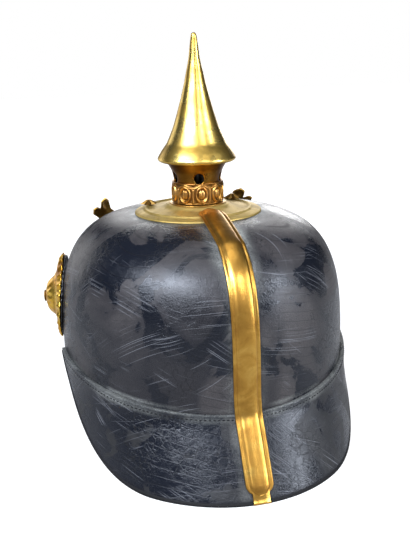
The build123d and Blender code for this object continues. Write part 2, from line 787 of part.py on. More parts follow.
# Side fittings, one set for each hand: cockade, rosette, post with its nut, and chin-scale end.
for side_name, hand in (("left", 1), ("right", -1)):
    # Cockade: a black painted disc with a notched edge, against the leather.
    with BuildPart() as cockade:
        with BuildSketch(side_plane(hand, cockade_stand)):
            Circle(cockade_radius)
            Circle(post_radius + leather_fit, mode=Mode.SUBTRACT)
            with PolarLocations(cockade_radius, rosette_lobes):
                Circle(cockade_thickness / 2, mode=Mode.SUBTRACT)
        extrude(amount=cockade_thickness)
        with BuildSketch(side_plane(hand, 0)):
            Circle(post_radius * 3)
            Circle(post_radius + leather_fit, mode=Mode.SUBTRACT)
        extrude(amount=cockade_stand)
        add(skull_outside, mode=Mode.SUBTRACT)
    cockade.part.label = "cockade_" + side_name
    export_step(cockade.part, "parts/cockade_" + side_name + ".step")

    # Rosette: pressed brass with a scalloped rim, a dished back and a raised boss.
    rim_plane = side_plane(hand, rosette_stand)
    with BuildPart() as rosette:
        with BuildSketch(Plane.XZ):
            with BuildLine():
                Polyline(
                    (post_radius + leather_fit, boss_height),
                    (boss_radius * 0.35, boss_height),
                    (boss_radius * 0.75, boss_height * 0.82),
                    (boss_radius * 0.95, boss_height * 0.52),
                    (boss_radius, boss_height * 0.3),
                    (boss_radius * 1.12, boss_height * 0.24),
                    (rosette_radius * 0.82, boss_height * 0.14),
                    (rosette_radius * 0.92, boss_height * 0.2),
                    (rosette_radius * 0.97, boss_height * 0.1),
                    (rosette_radius * 0.97, 0),
                    (boss_radius, 0),
                    (boss_radius * 0.6, boss_height * 0.5),
                    (post_radius + leather_fit, boss_height * 0.5),
                    close=True,
                )
            make_face()
        revolve(axis=Axis.Z)
        with BuildSketch(Plane.XY):
            with PolarLocations(rosette_radius * 0.955, rosette_lobes):
                Circle(rosette_radius * 0.045)
        extrude(amount=boss_height * 0.17)
        with BuildSketch(Plane.XY.offset(boss_height * 0.3)):
            with PolarLocations(boss_radius * 0.84, rosette_lobes // 2):
                Circle(boss_radius * 0.16)
        extrude(amount=boss_height * 0.3)
        with BuildSketch(Plane.XY):
            Circle(post_radius + leather_fit)
        extrude(amount=boss_height * 2, mode=Mode.SUBTRACT)
    placed_rosette = rim_plane.location * rosette.part
    placed_rosette.label = "rosette_" + side_name
    export_step(placed_rosette, "parts/rosette_" + side_name + ".step")

    # Post: a brass screw with a domed head, through rosette, scale end, cockade and skull.
    with BuildPart() as side_post:
        with BuildSketch(side_plane(hand, rosette_stand + boss_height)):
            Circle(post_radius)
        extrude(amount=-rosette_stand - boss_height - skull_wall - nut_thickness * 2)
        with BuildSketch(side_plane(hand, rosette_stand + boss_height)):
            Circle(post_radius * 1.9)
        extrude(amount=post_radius * 0.8, taper=30)
    side_post.part.label = "side_post_" + side_name
    export_step(side_post.part, "parts/side_post_" + side_name + ".step")

    # Nut: a round leather washer and a square nut inside the skull. The wall curves, so the flat
    # washer keeps a gap at its middle.
    with BuildPart() as side_nut:
        with BuildSketch(side_plane(hand, -skull_wall - side_washer_gap)):
            Circle(washer_radius)
            Circle(post_radius + leather_fit, mode=Mode.SUBTRACT)
        extrude(amount=-washer_thickness)
        with BuildSketch(side_plane(hand, -skull_wall - side_washer_gap - washer_thickness)):
            Rectangle(nut_radius * 2, nut_radius * 2)
            Circle(post_radius + leather_fit, mode=Mode.SUBTRACT)
        extrude(amount=-nut_thickness)
    side_nut.part.label = "side_nut_" + side_name
    export_step(side_nut.part, "parts/side_nut_" + side_name + ".step")

    # Scale end: a flat brass eye that turns on the post, with a tab that runs to the strap.
    end_plane = side_plane(hand, end_plate_stand)
    forward = Vector(-hand * sin(radians(side_turn)), -cos(radians(side_turn)), 0)
    tab_dir = forward * cos(radians(chin_slope)) - Vector(0, 0, 1) * sin(radians(chin_slope))
    tab_plane = Plane(origin=end_plane.origin, x_dir=tab_dir, z_dir=end_plane.z_dir)
    with BuildPart() as scale_end:
        with BuildSketch(tab_plane):
            Circle(end_ring_radius)
            with Locations((end_tab_length / 2, 0)):
                Rectangle(end_tab_length, end_ring_radius * 1.5)
            Circle(post_radius + post_play, mode=Mode.SUBTRACT)
        extrude(amount=end_plate_thickness)
    scale_end.part.label = "scale_end_" + side_name
    export_step(scale_end.part, "parts/scale_end_" + side_name + ".step")

    # Chin scales: overlapping brass scales with rounded front edges, narrower towards the chin.
    with BuildPart() as chin_scales:
        for scale_number in range(scale_count):
            turn = scale_last_turn + (scale_first_turn - scale_last_turn) * (
                scale_number / (scale_count - 1)
            )
            here = chin_plane.from_local_coords(Vector(*chin_point(turn, scale_stand), 0))
            ahead = chin_plane.from_local_coords(Vector(*chin_point(turn - 1, scale_stand), 0))
            here = Vector(hand * here.X, here.Y, here.Z)
            ahead = Vector(hand * ahead.X, ahead.Y, ahead.Z)
            across = chin_plane.z_dir
            along = (ahead - here).normalized()
            out = along.cross(across) * -hand
            lean = radians(scale_lean)
            along_leaned = along * cos(lean) + out * sin(lean)
            out_leaned = out * cos(lean) - along * sin(lean)
            width = scale_front_width + (scale_end_width - scale_front_width) * (
                scale_number / (scale_count - 1)
            )
            with BuildSketch(Plane(origin=here, x_dir=along_leaned, z_dir=out_leaned)):
                with BuildLine():
                    front = ThreePointArc(
                        (0, width / 2), (scale_pitch * 0.7, 0), (0, -width / 2)
                    )
                    Polyline(
                        front @ 1,
                        (-scale_pitch * 0.7, -width / 2 * 0.96),
                        (-scale_pitch * 0.7, width / 2 * 0.96),
                        front @ 0,
                    )
                make_face()
            extrude(amount=scale_sheet)
    chin_scales.part.label = "chin_scales_" + side_name
    export_step(chin_scales.part, "parts/chin_scales_" + side_name + ".step")

# Chin strap: the leather that backs both rows of scales.
with BuildPart() as chin_strap:
    with BuildSketch(chin_plane):
        with Locations((0, chin_centre)):
            Ellipse(chin_half_width, chin_half_length)
            Ellipse(
                chin_half_width - strap_leather, chin_half_length - strap_leather, mode=Mode.SUBTRACT
            )
        with Locations((0, chin_centre - chin_half_length)):
            Rectangle(
                chin_half_width * 2,
                (chin_half_length - chin_centre - end_tab_length - band_gap) * 2,
                mode=Mode.INTERSECT,
            )
    extrude(amount=strap_width / 2, both=True)
chin_strap.part.label = "chin_strap"
export_step(chin_strap.part, "parts/chin_strap.step")

# Buckle: a brass frame on the strap, where the two rows meet.
buckle_front = Plane(
    origin=chin_plane.from_local_coords(Vector(*chin_point(0, leather_fit), 0)),
    x_dir=(1, 0, 0),
    z_dir=chin_plane.y_dir * -1,
)
with BuildPart() as chin_buckle:
    with BuildSketch(buckle_front):
        RectangleRounded(buckle_length, buckle_height, buckle_bar)
        RectangleRounded(
            buckle_length - buckle_bar * 2, buckle_height - buckle_bar * 2, buckle_bar / 2, mode=Mode.SUBTRACT
        )
        Rectangle(buckle_bar * 0.8, buckle_height - buckle_bar)
    extrude(amount=buckle_bar * 0.7)
chin_buckle.part.label = "chin_buckle"
export_step(chin_buckle.part, "parts/chin_buckle.step")

# Sweatband: soft leather inside the foot of the skull.
band_outer = dome_form(-skull_wall - band_gap)
band_inner = dome_form(-skull_wall - band_gap - band_thickness)
band_top_z = seam_side_height + band_height / 2
with BuildPart() as sweatband:
    with BuildSketch(Plane.XY):
        Rectangle(skull_half_width * 2, skull_half_length * 2)
    extrude(amount=band_top_z)
    extrude(above_rim, amount=skull_half_width * 2, both=True, mode=Mode.INTERSECT)
    add(band_outer, mode=Mode.INTERSECT)
    add(band_inner, mode=Mode.SUBTRACT)
    for hand in (-1, 1):
        with BuildSketch(side_plane(hand, -overrun / 2)):
            Circle(washer_radius + band_gap)
        extrude(amount=overrun, mode=Mode.SUBTRACT)
    with BuildSketch(Plane.XZ):
        with Locations((0, spine_post_heights[0])):
            Circle(washer_radius + band_gap)
    extrude(amount=-skull_half_length * 2, mode=Mode.SUBTRACT)
sweatband.part.label = "sweatband"
export_step(sweatband.part, "parts/sweatband.step")

# Lining fingers: leather tongues sewn to the band that lean in to carry the head. The wider
# gaps between them leave room for the nuts of the fittings.
front_gap_turn = degrees(atan2(eagle_post_x, nut_inner_y + nut_thickness / 2))
side_nut_origin = side_plane(1, -skull_wall - nut_thickness).origin
side_gap_turn = degrees(atan2(side_nut_origin.X, -side_nut_origin.Y))
finger_grow = -skull_wall - band_gap - band_thickness - leather_fit
with BuildPart() as lining_fingers:
    add(dome_form(finger_grow, finger_top_z - finger_grow))
    add(dome_form(finger_grow - band_thickness, finger_top_z - finger_grow), mode=Mode.SUBTRACT)
    with BuildSketch(Plane.XY):
        Rectangle(skull_half_width * 2, skull_half_length * 2)
    extrude(amount=band_top_z - band_height * 0.15, mode=Mode.SUBTRACT)
    with BuildSketch(Plane.XY.offset(band_top_z + band_height * 0.1)):
        Ellipse(skull_half_width * finger_top_share, skull_half_length * finger_top_share)
        for gap_turn in plain_gap_turns:
            for hand in (-1, 1):
                with PolarLocations(skull_half_length / 2, 1, start_angle=-90 + hand * gap_turn):
                    Rectangle(skull_half_length, finger_gap)
        for gap_turn in (front_gap_turn, -front_gap_turn, side_gap_turn, -side_gap_turn, 180):
            with PolarLocations(skull_half_length / 2, 1, start_angle=-90 + gap_turn):
                Rectangle(skull_half_length, fitting_gap)
    extrude(amount=overrun * 2, mode=Mode.SUBTRACT)
    for hand in (-1, 1):
        with BuildSketch(side_plane(hand, -overrun / 2)):
            Circle(washer_radius + band_gap)
        extrude(amount=overrun, mode=Mode.SUBTRACT)
lining_fingers.part.label = "lining_fingers"
export_step(lining_fingers.part, "parts/lining_fingers.step")
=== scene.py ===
"""Looks of a leather spiked helmet with brass fittings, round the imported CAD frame.

Sizes are in millimetres in the helmet's own frame: +Z up the spike, the front looks along -Y, and
the wearer's left is +X. put_mesh turns them into metres.
"""

import math

import bpy
import numpy as np
from mathutils import Matrix, Vector, noise


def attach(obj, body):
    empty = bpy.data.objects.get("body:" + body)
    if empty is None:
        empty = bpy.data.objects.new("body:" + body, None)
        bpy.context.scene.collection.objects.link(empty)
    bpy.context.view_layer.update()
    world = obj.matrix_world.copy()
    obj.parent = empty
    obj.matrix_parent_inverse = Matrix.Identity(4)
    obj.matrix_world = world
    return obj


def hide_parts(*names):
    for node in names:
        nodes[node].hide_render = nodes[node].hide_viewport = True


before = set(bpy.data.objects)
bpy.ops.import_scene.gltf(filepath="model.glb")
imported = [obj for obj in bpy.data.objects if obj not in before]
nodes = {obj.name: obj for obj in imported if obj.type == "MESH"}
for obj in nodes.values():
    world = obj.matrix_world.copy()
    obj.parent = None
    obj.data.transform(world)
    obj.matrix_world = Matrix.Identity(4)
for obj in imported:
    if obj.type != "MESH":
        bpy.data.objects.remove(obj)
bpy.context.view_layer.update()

# Skull: harness leather, boiled, pressed over a wooden block and lacquered black in many coats.
# It carries every other piece, and its foot is tucked inside the collars of both brims.
millimetre = 0.001
skull_half_length = 94.8
skull_half_width = 87.0
skull_crown_height = 136.8
skull_wall_foot = 50.0
skull_wall = 2.6
crown_power = 3.4
side_power = 4.4
seam_side_height = 60.5
seam_rear_height = 43.4
seam_front_height = 46.5
seam_peak_y = -8.0
skull_tuck = 6.5
plate_radius = 38.9
spine_width = 15.7


def wall_share(z, grow=0.0, crown=skull_crown_height):
    """Share of the dome's half length and width that is left at a height."""
    rise = max(0.0, (z - skull_wall_foot) / (crown + grow - skull_wall_foot))
    return max(0.0, 1 - min(1.0, rise) ** crown_power) ** (1 / side_power)


def dome_at(around, z, grow=0.0):
    """Point of the dome at a height; around is measured from the wearer's left to the rear."""
    share = wall_share(z, grow)
    return Vector((
        (skull_half_width + grow) * share * math.cos(around),
        (skull_half_length + grow) * share * math.sin(around),
        z,
    ))


def seam_height(y):
    """Height of the seam: it falls from over the side post to the front and to the rear."""
    if y > seam_peak_y:
        fall = (seam_side_height - seam_rear_height) / (skull_half_length - seam_peak_y)
    else:
        fall = (seam_side_height - seam_front_height) / (skull_half_length + seam_peak_y)
    return seam_side_height - fall * abs(y - seam_peak_y)


def put_mesh(name, points, faces, body="shell", marks=None):
    """Makes a smooth-shaded piece from points in millimetres and lets it ride on a body.

    marks holds numbers per point under a name, such as the dust that lies on it.
    """
    mesh = bpy.data.meshes.new(name)
    mesh.from_pydata([tuple(c * millimetre for c in p) for p in points], [], faces)
    mesh.validate()
    for mark, values in (marks or {}).items():
        held = mesh.attributes.new(mark, "FLOAT", "POINT")
        held.data.foreach_set("value", np.array(values, np.float32))
    mesh.polygons.foreach_set("use_smooth", [True] * len(mesh.polygons))
    piece = bpy.data.objects.new(name, mesh)
    bpy.context.scene.collection.objects.link(piece)
    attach(piece, body)
    return piece


def grid_faces(rows, columns, round_columns=False, round_rows=False, start=0):
    """Faces of a grid of points that is stored row by row."""
    faces = []
    for row in range(rows if round_rows else rows - 1):
        for column in range(columns if round_columns else columns - 1):
            after_row, after_column = (row + 1) % rows, (column + 1) % columns
            faces.append((
                start + row * columns + column,
                start + row * columns + after_column,
                start + after_row * columns + after_column,
                start + after_row * columns + column,
            ))
    return faces


def thicken(piece, thickness, offset=-1.0, edge=0.0):
    """Gives a sheet its thickness in millimetres, and rounds its edges by that much."""
    solid = piece.modifiers.new("sheet", "SOLIDIFY")
    solid.thickness = thickness * millimetre
    solid.offset = offset
    solid.use_even_offset = True
    if edge:
        bevel = piece.modifiers.new("edge", "BEVEL")
        bevel.width = edge * millimetre
        bevel.segments = 2
        bevel.limit_method = "ANGLE"
        bevel.angle_limit = math.radians(50)


def linear(hex_colour):
    """Turns an sRGB hex value into linear red, green, blue and alpha."""
    parts = [int(hex_colour[i:i + 2], 16) / 255 for i in (1, 3, 5)]
    return [p / 12.92 if p <= 0.04045 else ((p + 0.055) / 1.055) ** 2.4 for p in parts] + [1.0]


def add(tree, kind, inputs=None, stops=None, **settings):
    """Adds a node to a material: its settings, its inputs and a ramp's stops.

    An input is a value, another node's socket, or another node, which stands for its first output.
    """
    node = tree.nodes.new("ShaderNode" + kind)
    for key, value in settings.items():
        setattr(node, key, value)
    for key, value in (inputs or {}).items():
        if isinstance(value, bpy.types.Node):
            value = value.outputs[0]
        if isinstance(value, bpy.types.NodeSocket):
            tree.links.new(value, node.inputs[key])
        else:
            node.inputs[key].default_value = value
    if stops:
        ramp = node.color_ramp
        while len(ramp.elements) < len(stops):
            ramp.elements.new(1.0)
        for element, (place, colour) in zip(ramp.elements, stops):
            element.position = place
            element.color = colour if not isinstance(colour, float) else [colour] * 3 + [1.0]
    return node


def new_material(name):
    """A plain material: itself, its node tree, its shader and its piece's own coordinates."""
    material = bpy.data.materials.new(name)
    material.use_nodes = True
    tree = material.node_tree
    return material, tree, tree.nodes["Principled BSDF"], add(tree, "TexCoord").outputs["Object"]


def per_metre(size):
    """Scale of a pattern whose features are so many millimetres wide."""
    return 1 / (size * millimetre)


def lacquered_leather(name, seed, dust="#8b8c86", bloom_and_shade_colour="#403c3b", rubbed_share=0.46):
    """Black lacquer over pressed leather, crazed with age and hazed with old polish and dust.

    The eye sees a deep blue-black where hands rubbed it, a grey bloom elsewhere, a net of fine
    cracks and thin scratches. The marks "dust" and "rim" add dust and a sealed dark edge.
    """
    material, tree, shader, place = new_material(name)
    place = add(tree, "Mapping", {"Vector": place, "Location": (seed, seed * 0.7, seed * 1.3)})
    # Haze: bloom in patches of about 67 mm, and rubbed places of half that with sharper edges.
    broad = add(tree, "TexNoise", {"Vector": place, "Scale": per_metre(66.67), "Detail": 3.0,
                                   "Roughness": 0.5, "Distortion": 0.8})
    smudge = add(tree, "TexNoise", {"Vector": place, "Scale": per_metre(33.33), "Detail": 6.0,
                                    "Roughness": 0.55, "Distortion": 1.0})
    # Real dust is finer than 0.1 mm: its grain is drawn nine times as coarse, so that it shows.
    fine = add(tree, "TexNoise", {"Vector": place, "Scale": per_metre(0.9091), "Detail": 3.0,
                                  "Roughness": 0.7})
    wide_haze = add(tree, "ValToRGB", {"Fac": broad}, stops=[(0.4, 0.3), (0.56, 1.0)])
    rubbed = add(tree, "ValToRGB", {"Fac": smudge},
                 stops=[(rubbed_share, 0.0), (rubbed_share + 0.03, 0.7), (rubbed_share + 0.14, 1.0)])
    haze = add(tree, "Math", {0: wide_haze, 1: rubbed}, operation="MULTIPLY")
    speck = add(tree, "MapRange", {"Value": fine, "From Min": 0.3, "From Max": 0.7, "To Min": 0.72,
                                   "To Max": 1.12})
    haze = add(tree, "Math", {0: haze, 1: speck}, operation="MULTIPLY", use_clamp=True)
    # Crazing: cells of 4 mm and finer ones of 1 mm, bent by noise, and clear in places only.
    bend = add(tree, "TexNoise", {"Vector": place, "Scale": per_metre(7.143), "Detail": 2.0})
    bent = add(tree, "MixRGB", {"Fac": 0.008, "Color1": place, "Color2": bend.outputs["Color"]},
               blend_type="ADD")
    crack = add(tree, "TexVoronoi", {"Vector": bent, "Scale": per_metre(4.0)},
                feature="DISTANCE_TO_EDGE")
    crack = add(tree, "ValToRGB", {"Fac": crack}, stops=[(0.0, 1.0), (0.055, 0.0)])
    small = add(tree, "TexVoronoi", {"Vector": bent, "Scale": per_metre(1.0526)},
                feature="DISTANCE_TO_EDGE")
    small = add(tree, "ValToRGB", {"Fac": small}, stops=[(0.0, 1.0), (0.14, 0.0)])
    where = add(tree, "TexNoise", {"Vector": place, "Scale": per_metre(29.41), "Detail": 2.0})
    where = add(tree, "ValToRGB", {"Fac": where}, stops=[(0.48, 0.0), (0.64, 1.0)])
    crack = add(tree, "Math", {0: crack, 1: where}, operation="MULTIPLY")
    crack = add(tree, "Math", {0: small, 1: 0.35, 2: crack}, operation="MULTIPLY_ADD", use_clamp=True)
    # Scratches: hair lines 0.4 mm wide in five directions, each only in patches of about 30 mm.
    hair_line = (0.4 * millimetre, 100 * millimetre, 100 * millimetre)
    scratch = None
    for turn, spot in ((0.5, 3.0), (-1.1, 7.0), (2.3, 11.0), (1.5, 15.0), (-2.6, 19.0)):
        laid = add(tree, "Mapping", {"Vector": place, "Rotation": (turn, turn * 1.7, turn * 0.6),
                                     "Scale": hair_line}, vector_type="TEXTURE")
        streak = add(tree, "TexNoise", {"Vector": laid, "Scale": 1.0, "Detail": 0.0})
        streak = add(tree, "ValToRGB", {"Fac": streak}, stops=[(0.69, 0.0), (0.76, 1.0)])
        patch = add(tree, "Mapping", {"Vector": place, "Location": (spot, spot, spot)})
        patch = add(tree, "TexNoise", {"Vector": patch, "Scale": per_metre(29.41), "Detail": 1.0})
        patch = add(tree, "ValToRGB", {"Fac": patch}, stops=[(0.58, 0.0), (0.66, 1.0)])
        streak = add(tree, "Math", {0: streak, 1: patch}, operation="MULTIPLY")
        if scratch:
            streak = add(tree, "Math", {0: scratch, 1: streak}, operation="MAXIMUM")
        scratch = streak
    # Creases: long thin curved lines, nearly level, about 4 mm apart, where the leather was blocked.
    # A wave texture repeats pi / 10 times its scale's length apart.
    drift = add(tree, "TexNoise", {"Vector": place, "Scale": per_metre(90.91), "Detail": 0.0})
    level = add(tree, "MixRGB", {"Fac": 0.04, "Color1": place, "Color2": drift.outputs["Color"]},
                blend_type="ADD")
    level = add(tree, "Mapping", {"Vector": level, "Rotation": (0.1, 0.08, 0.0)})
    level = add(tree, "TexWave", {"Vector": level, "Scale": per_metre(4.189) * math.pi / 10,
                                  "Distortion": 0.25, "Detail": 1.0}, bands_direction="Z")
    level = add(tree, "ValToRGB", {"Fac": level.outputs["Fac"]}, stops=[(0.965, 0.0), (0.99, 0.5)])
    shown = add(tree, "ValToRGB", {"Fac": broad}, stops=[(0.46, 0.0), (0.54, 1.0)])
    crease = add(tree, "Math", {0: level, 1: shown}, operation="MULTIPLY")
    crack = add(tree, "Math", {0: crease, 1: crack}, operation="MAXIMUM")
    # Colour: lacquer, bloom over it, cracks and scratches, then dust and the sealed rim.
    lacquer = add(tree, "MixRGB", {"Fac": broad, "Color1": linear("#080a10"),
                                   "Color2": linear("#12161f")})
    bloom = add(tree, "MixRGB", {"Fac": haze, "Color1": lacquer, "Color2": linear(bloom_and_shade_colour)})
    lined = add(tree, "MixRGB", {"Fac": crack, "Color1": bloom, "Color2": linear("#0c0c0f")})
    pale = add(tree, "Math", {0: scratch, 1: 0.34}, operation="MULTIPLY")
    lined = add(tree, "MixRGB", {"Fac": pale, "Color1": lined, "Color2": linear("#8b8c90")})
    dust_mark = add(tree, "Attribute", attribute_name="dust").outputs["Fac"]
    dusty = add(tree, "MapRange", {"Value": smudge, "From Min": 0.35, "From Max": 0.65, "To Min": 0.3,
                                   "To Max": 1.2})
    dusty = add(tree, "Math", {0: dusty, 1: dust_mark}, operation="MULTIPLY")
    grain = add(tree, "MapRange", {"Value": fine, "From Min": 0.36, "From Max": 0.64, "To Min": 0.35,
                                   "To Max": 1.3})
    dusty = add(tree, "Math", {0: grain, 1: dusty}, operation="MULTIPLY", use_clamp=True)
    powder = add(tree, "MixRGB", {"Fac": dusty, "Color1": lined, "Color2": linear(dust)})
    rim_mark = add(tree, "Attribute", attribute_name="rim").outputs["Fac"]
    worn = add(tree, "MixRGB", {"Fac": rim_mark, "Color1": powder, "Color2": linear("#16161a")})
    tree.links.new(worn.outputs[0], shader.inputs["Base Color"])
    # Gloss: the rubbed lacquer still shines, and the bloom, the cracks and the dust are dull.
    dull = add(tree, "MapRange", {"Value": haze, "To Min": 0.2, "To Max": 0.46})
    dull = add(tree, "Math", {0: dusty, 1: 0.3, 2: dull}, operation="MULTIPLY_ADD", use_clamp=True)
    dull = add(tree, "Math", {0: crack, 1: 0.2, 2: dull}, operation="MULTIPLY_ADD", use_clamp=True)
    tree.links.new(dull.outputs[0], shader.inputs["Roughness"])
    shader.inputs["IOR"].default_value = 1.42
    sheen = add(tree, "Math", {0: dusty, 1: -0.2, 2: 0.5}, operation="MULTIPLY_ADD")
    sheen = add(tree, "Math", {0: rim_mark, 1: -0.32, 2: sheen}, operation="MULTIPLY_ADD",
                use_clamp=True)
    tree.links.new(sheen.outputs[0], shader.inputs["Specular IOR Level"])
    height = add(tree, "Math", {0: crack, 1: -1.0}, operation="MULTIPLY")
    height = add(tree, "Math", {0: fine, 1: 0.7, 2: height}, operation="MULTIPLY_ADD")
    height = add(tree, "Math", {0: scratch, 1: -0.4, 2: height}, operation="MULTIPLY_ADD")
    bump = add(tree, "Bump", {"Height": height, "Strength": 0.38, "Distance": 0.2 * millimetre})
    wave = add(tree, "Bump", {"Height": smudge, "Strength": 0.2, "Distance": 1.2 * millimetre,
                              "Normal": bump})
    tree.links.new(wave.outputs["Normal"], shader.inputs["Normal"])
    return material


def near_spine(x, y, z):
    """Dust beside the spine, from 0 to 1."""
    if y < 0:
        return 0.0
    away = abs(x) - spine_width / 2
    patchy = 0.55 + 1.1 * noise.noise((x * 0.11, y * 0.05, z * 0.05))
    high = min(1.0, max(0.3, (z - 85.0) / 40.0))
    return max(0.0, 1 - max(0.0, away) / (3.5 + 3.5 * high)) * max(0.0, patchy) * high * 0.9


def profile_path(first_share=0.135, foot_z=20.0, steps=400):
    """Shares and heights down the dome's side, from a small circle at the crown to below the seam."""
    path = []
    for step in range(steps + 1):
        turn = math.radians(90 * (step / steps))
        share = math.sin(turn) ** (2 / side_power)
        if share >= first_share:
            rise = max(0.0, math.cos(turn)) ** (2 / crown_power)
            path.append((share, skull_wall_foot + (skull_crown_height - skull_wall_foot) * rise))
    path.append((1.0, foot_z))
    return path


skull_columns, skull_rows = 200, 84
side_path = profile_path()
path_length = [0.0]
for before, after in zip(side_path, side_path[1:]):
    step_out = (after[0] - before[0]) * skull_half_length
    path_length.append(path_length[-1] + math.hypot(step_out, after[1] - before[1]))
path_length = np.array(path_length)
path_share = np.array([p[0] for p in side_path])
path_height = np.array([p[1] for p in side_path])
skull_points, skull_dust = [], []
for row in range(skull_rows):
    for column in range(skull_columns):
        around = 2 * math.pi * column / skull_columns
        rim_z = seam_height(skull_half_length * math.sin(around)) - skull_tuck
        end = np.interp(-rim_z, -path_height, path_length)
        down = end * row / (skull_rows - 1)
        share = float(np.interp(down, path_length, path_share))
        z = float(np.interp(down, path_length, path_height))
        x = skull_half_width * share * math.cos(around)
        y = skull_half_length * share * math.sin(around)
        swell = noise.noise((x * 0.018, y * 0.018, z * 0.018)) * 0.3
        x, y = x * (1 + swell / skull_half_length), y * (1 + swell / skull_half_length)
        skull_points.append((x, y, z))
        plate_away = math.hypot(x, y) - plate_radius
        top_dust = max(0.0, 1 - max(0.0, plate_away) / 7.0) * 0.7 if z > 120 else 0.0
        patchy = 0.3 + 0.8 * noise.noise((x * 0.06, y * 0.06, z * 0.06))
        seam_dust = max(0.0, 1 - abs(z - seam_height(y) - 0.8) / 1.8) * max(0.0, patchy)
        skull_dust.append(max(near_spine(x, y, z), top_dust, seam_dust))
skull_faces = [tuple(reversed(face)) for face in grid_faces(skull_rows, skull_columns, True)]
skull_piece = put_mesh("skull_leather", skull_points, skull_faces, marks={"dust": skull_dust})
thicken(skull_piece, skull_wall, -1.0)
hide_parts("skull")
skull_piece.data.materials.append(lacquered_leather("lacquered_skull_leather", 0.31))

# Neck guard and front visor: thinner lacquered leather, pressed to a flare and stitched to the
# skull by an upright collar. Their cut edges are sealed with black wax, rounded by wear.
brim_thickness = 2.3
leather_fit = 0.1
brim_bend = 4.0
collar_half_width = skull_half_width + leather_fit + brim_thickness
collar_half_length = skull_half_length + leather_fit + brim_thickness
flare_table = (
    (-0.25, 1.25), (0, 1), (0.25, 0.75), (0.5, 0.5), (0.75, 0.25), (0.9, 0.1), (1.0, 0.025),
    (1.08, 0.004), (1.2, 0), (1.4, 0), (1.7, 0),
)
edge_flat_angle = 30.0
brim_rows = 36
rim_width = 3.4


def flare_share(height_share):
    """How far a brim has flared out at a share of its bend's height."""
    places = [p[0] for p in flare_table]
    outs = [p[1] for p in flare_table]
    step = 0.06
    near = [np.interp(height_share + s, places, outs) for s in (-step, -step / 2, 0, step / 2, step)]
    return float(near[0] + 2 * near[1] + 3 * near[2] + 2 * near[3] + near[4]) / 9


def brim_point(brim, across, z, grow=0.0):
    """Point of a brim's outside; across is the angle from the middle of the brim."""
    out = flare_share(z / brim["bend"])
    half_width = collar_half_width + out * (brim["half_width"] - collar_half_width) + grow
    half_length = collar_half_length + out * (abs(brim["tip_y"]) - collar_half_length) + grow
    hand = 1 if brim["tip_y"] > 0 else -1
    return Vector((half_width * math.sin(across), hand * half_length * math.cos(across), z))


def edge_height(brim, y):
    """Height of a brim's free edge over a place along the helmet."""
    corner_z = seam_height(brim["corner_y"]) - brim["corner_drop"]
    share = (y - brim["corner_y"]) / (brim["tip_y"] - brim["corner_y"])
    share = min(1.0, max(0.0, share))
    turn = math.degrees(math.acos(min(1.0, share ** (1 / 0.87))))
    climb = max(0.0, (turn - edge_flat_angle) / (90 - edge_flat_angle)) ** 3
    return climb * corner_z


def brim_edge(brim, across):
    """Lowest point of a brim at an angle across it."""
    low, high = 0.0, seam_side_height
    for _ in range(30):
        middle = (low + high) / 2
        if middle < edge_height(brim, brim_point(brim, across, middle).y):
            low = middle
        else:
            high = middle
    return brim_point(brim, across, high if high > 1e-4 else 0.0)


def brim_top(brim, across):
    """Point where a brim's collar meets the seam at an angle across it."""
    z = seam_side_height
    for _ in range(8):
        z = seam_height(brim_point(brim, across, z).y)
    return brim_point(brim, across, z)


def brim_angles(brim, count=150):
    """Angles across a brim from corner to corner, closer together towards its corners."""
    hand = 1 if brim["tip_y"] > 0 else -1
    last = math.acos(hand * brim["corner_y"] / collar_half_length)
    spread = [math.sin(math.pi / 2 * (2 * i / count - 1)) for i in range(count + 1)]
    even = [2 * i / count - 1 for i in range(count + 1)]
    return [last * (0.75 * e + 0.25 * s) for e, s in zip(even, spread)]


def brim_sheet(name, brim, inset=0.0):
    """Makes a brim's leather as a sheet, with dust by the seam and the spine and a dark rim."""
    angles = brim_angles(brim)
    limits = [(brim_top(brim, across), brim_edge(brim, across)) for across in angles]
    points, dust, rim = [], [], []
    for row in range(brim_rows):
        share = row / (brim_rows - 1)
        for across, (top, edge) in zip(angles, limits):
            z = top.z + (edge.z + inset - top.z) * share
            point = brim_point(brim, across, z)
            points.append(tuple(point))
            seam_away = top.z - z
            patchy = max(0.0, 0.3 + 0.6 * noise.noise(point * 0.05))
            seam_dust = max(0.0, 1 - abs(seam_away - 2.6) / 2.6) * patchy
            seam_dust = max(seam_dust, 0.45 if row == 0 else 0.0)
            side = near_spine(*point) if brim["tip_y"] > 0 else 0.0
            dust.append(max(seam_dust, side))
            rim_away = (top - point).length - (top - edge).length
            rim.append(min(1.0, max(0.0, (rim_width - abs(rim_away)) / 1.4)))
    faces = grid_faces(brim_rows, len(angles))
    if brim["tip_y"] < 0:
        faces = [tuple(reversed(face)) for face in faces]
    piece = put_mesh(name, points, faces, marks={"dust": dust, "rim": rim})
    thicken(piece, brim_thickness, -1.0, 0.55)
    return piece


guard = {"half_width": 92.0, "tip_y": 119.5, "corner_y": 4.0, "corner_drop": 3.4,
         "bend": seam_rear_height - brim_bend / 2}
visor = {"half_width": 94.0, "tip_y": -133.0, "corner_y": -35.0, "corner_drop": 2.2,
         "bend": seam_front_height - brim_bend}
# The brims get a darker bloom than the skull: painted shade, as they lie darker in this light. They are also
# more rubbed.
brim_leather = lacquered_leather("lacquered_brim_leather", 0.83, bloom_and_shade_colour="#262524",
                                 rubbed_share=0.52)
guard_piece = brim_sheet("neck_guard_leather", guard)
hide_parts("neck_guard")
visor_piece = brim_sheet("front_visor_leather", visor, 0.9)
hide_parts("front_visor")
for piece in (guard_piece, visor_piece):
    piece.data.materials.append(brim_leather)

# Sealed edge: the guard's cut edge, rounded and burnished with black wax into a narrow bead that
# stands a third of a millimetre proud of the leather on both sides.
bead_proud = 0.35
bead_radius = brim_thickness / 2 + bead_proud
bead_corners = 14


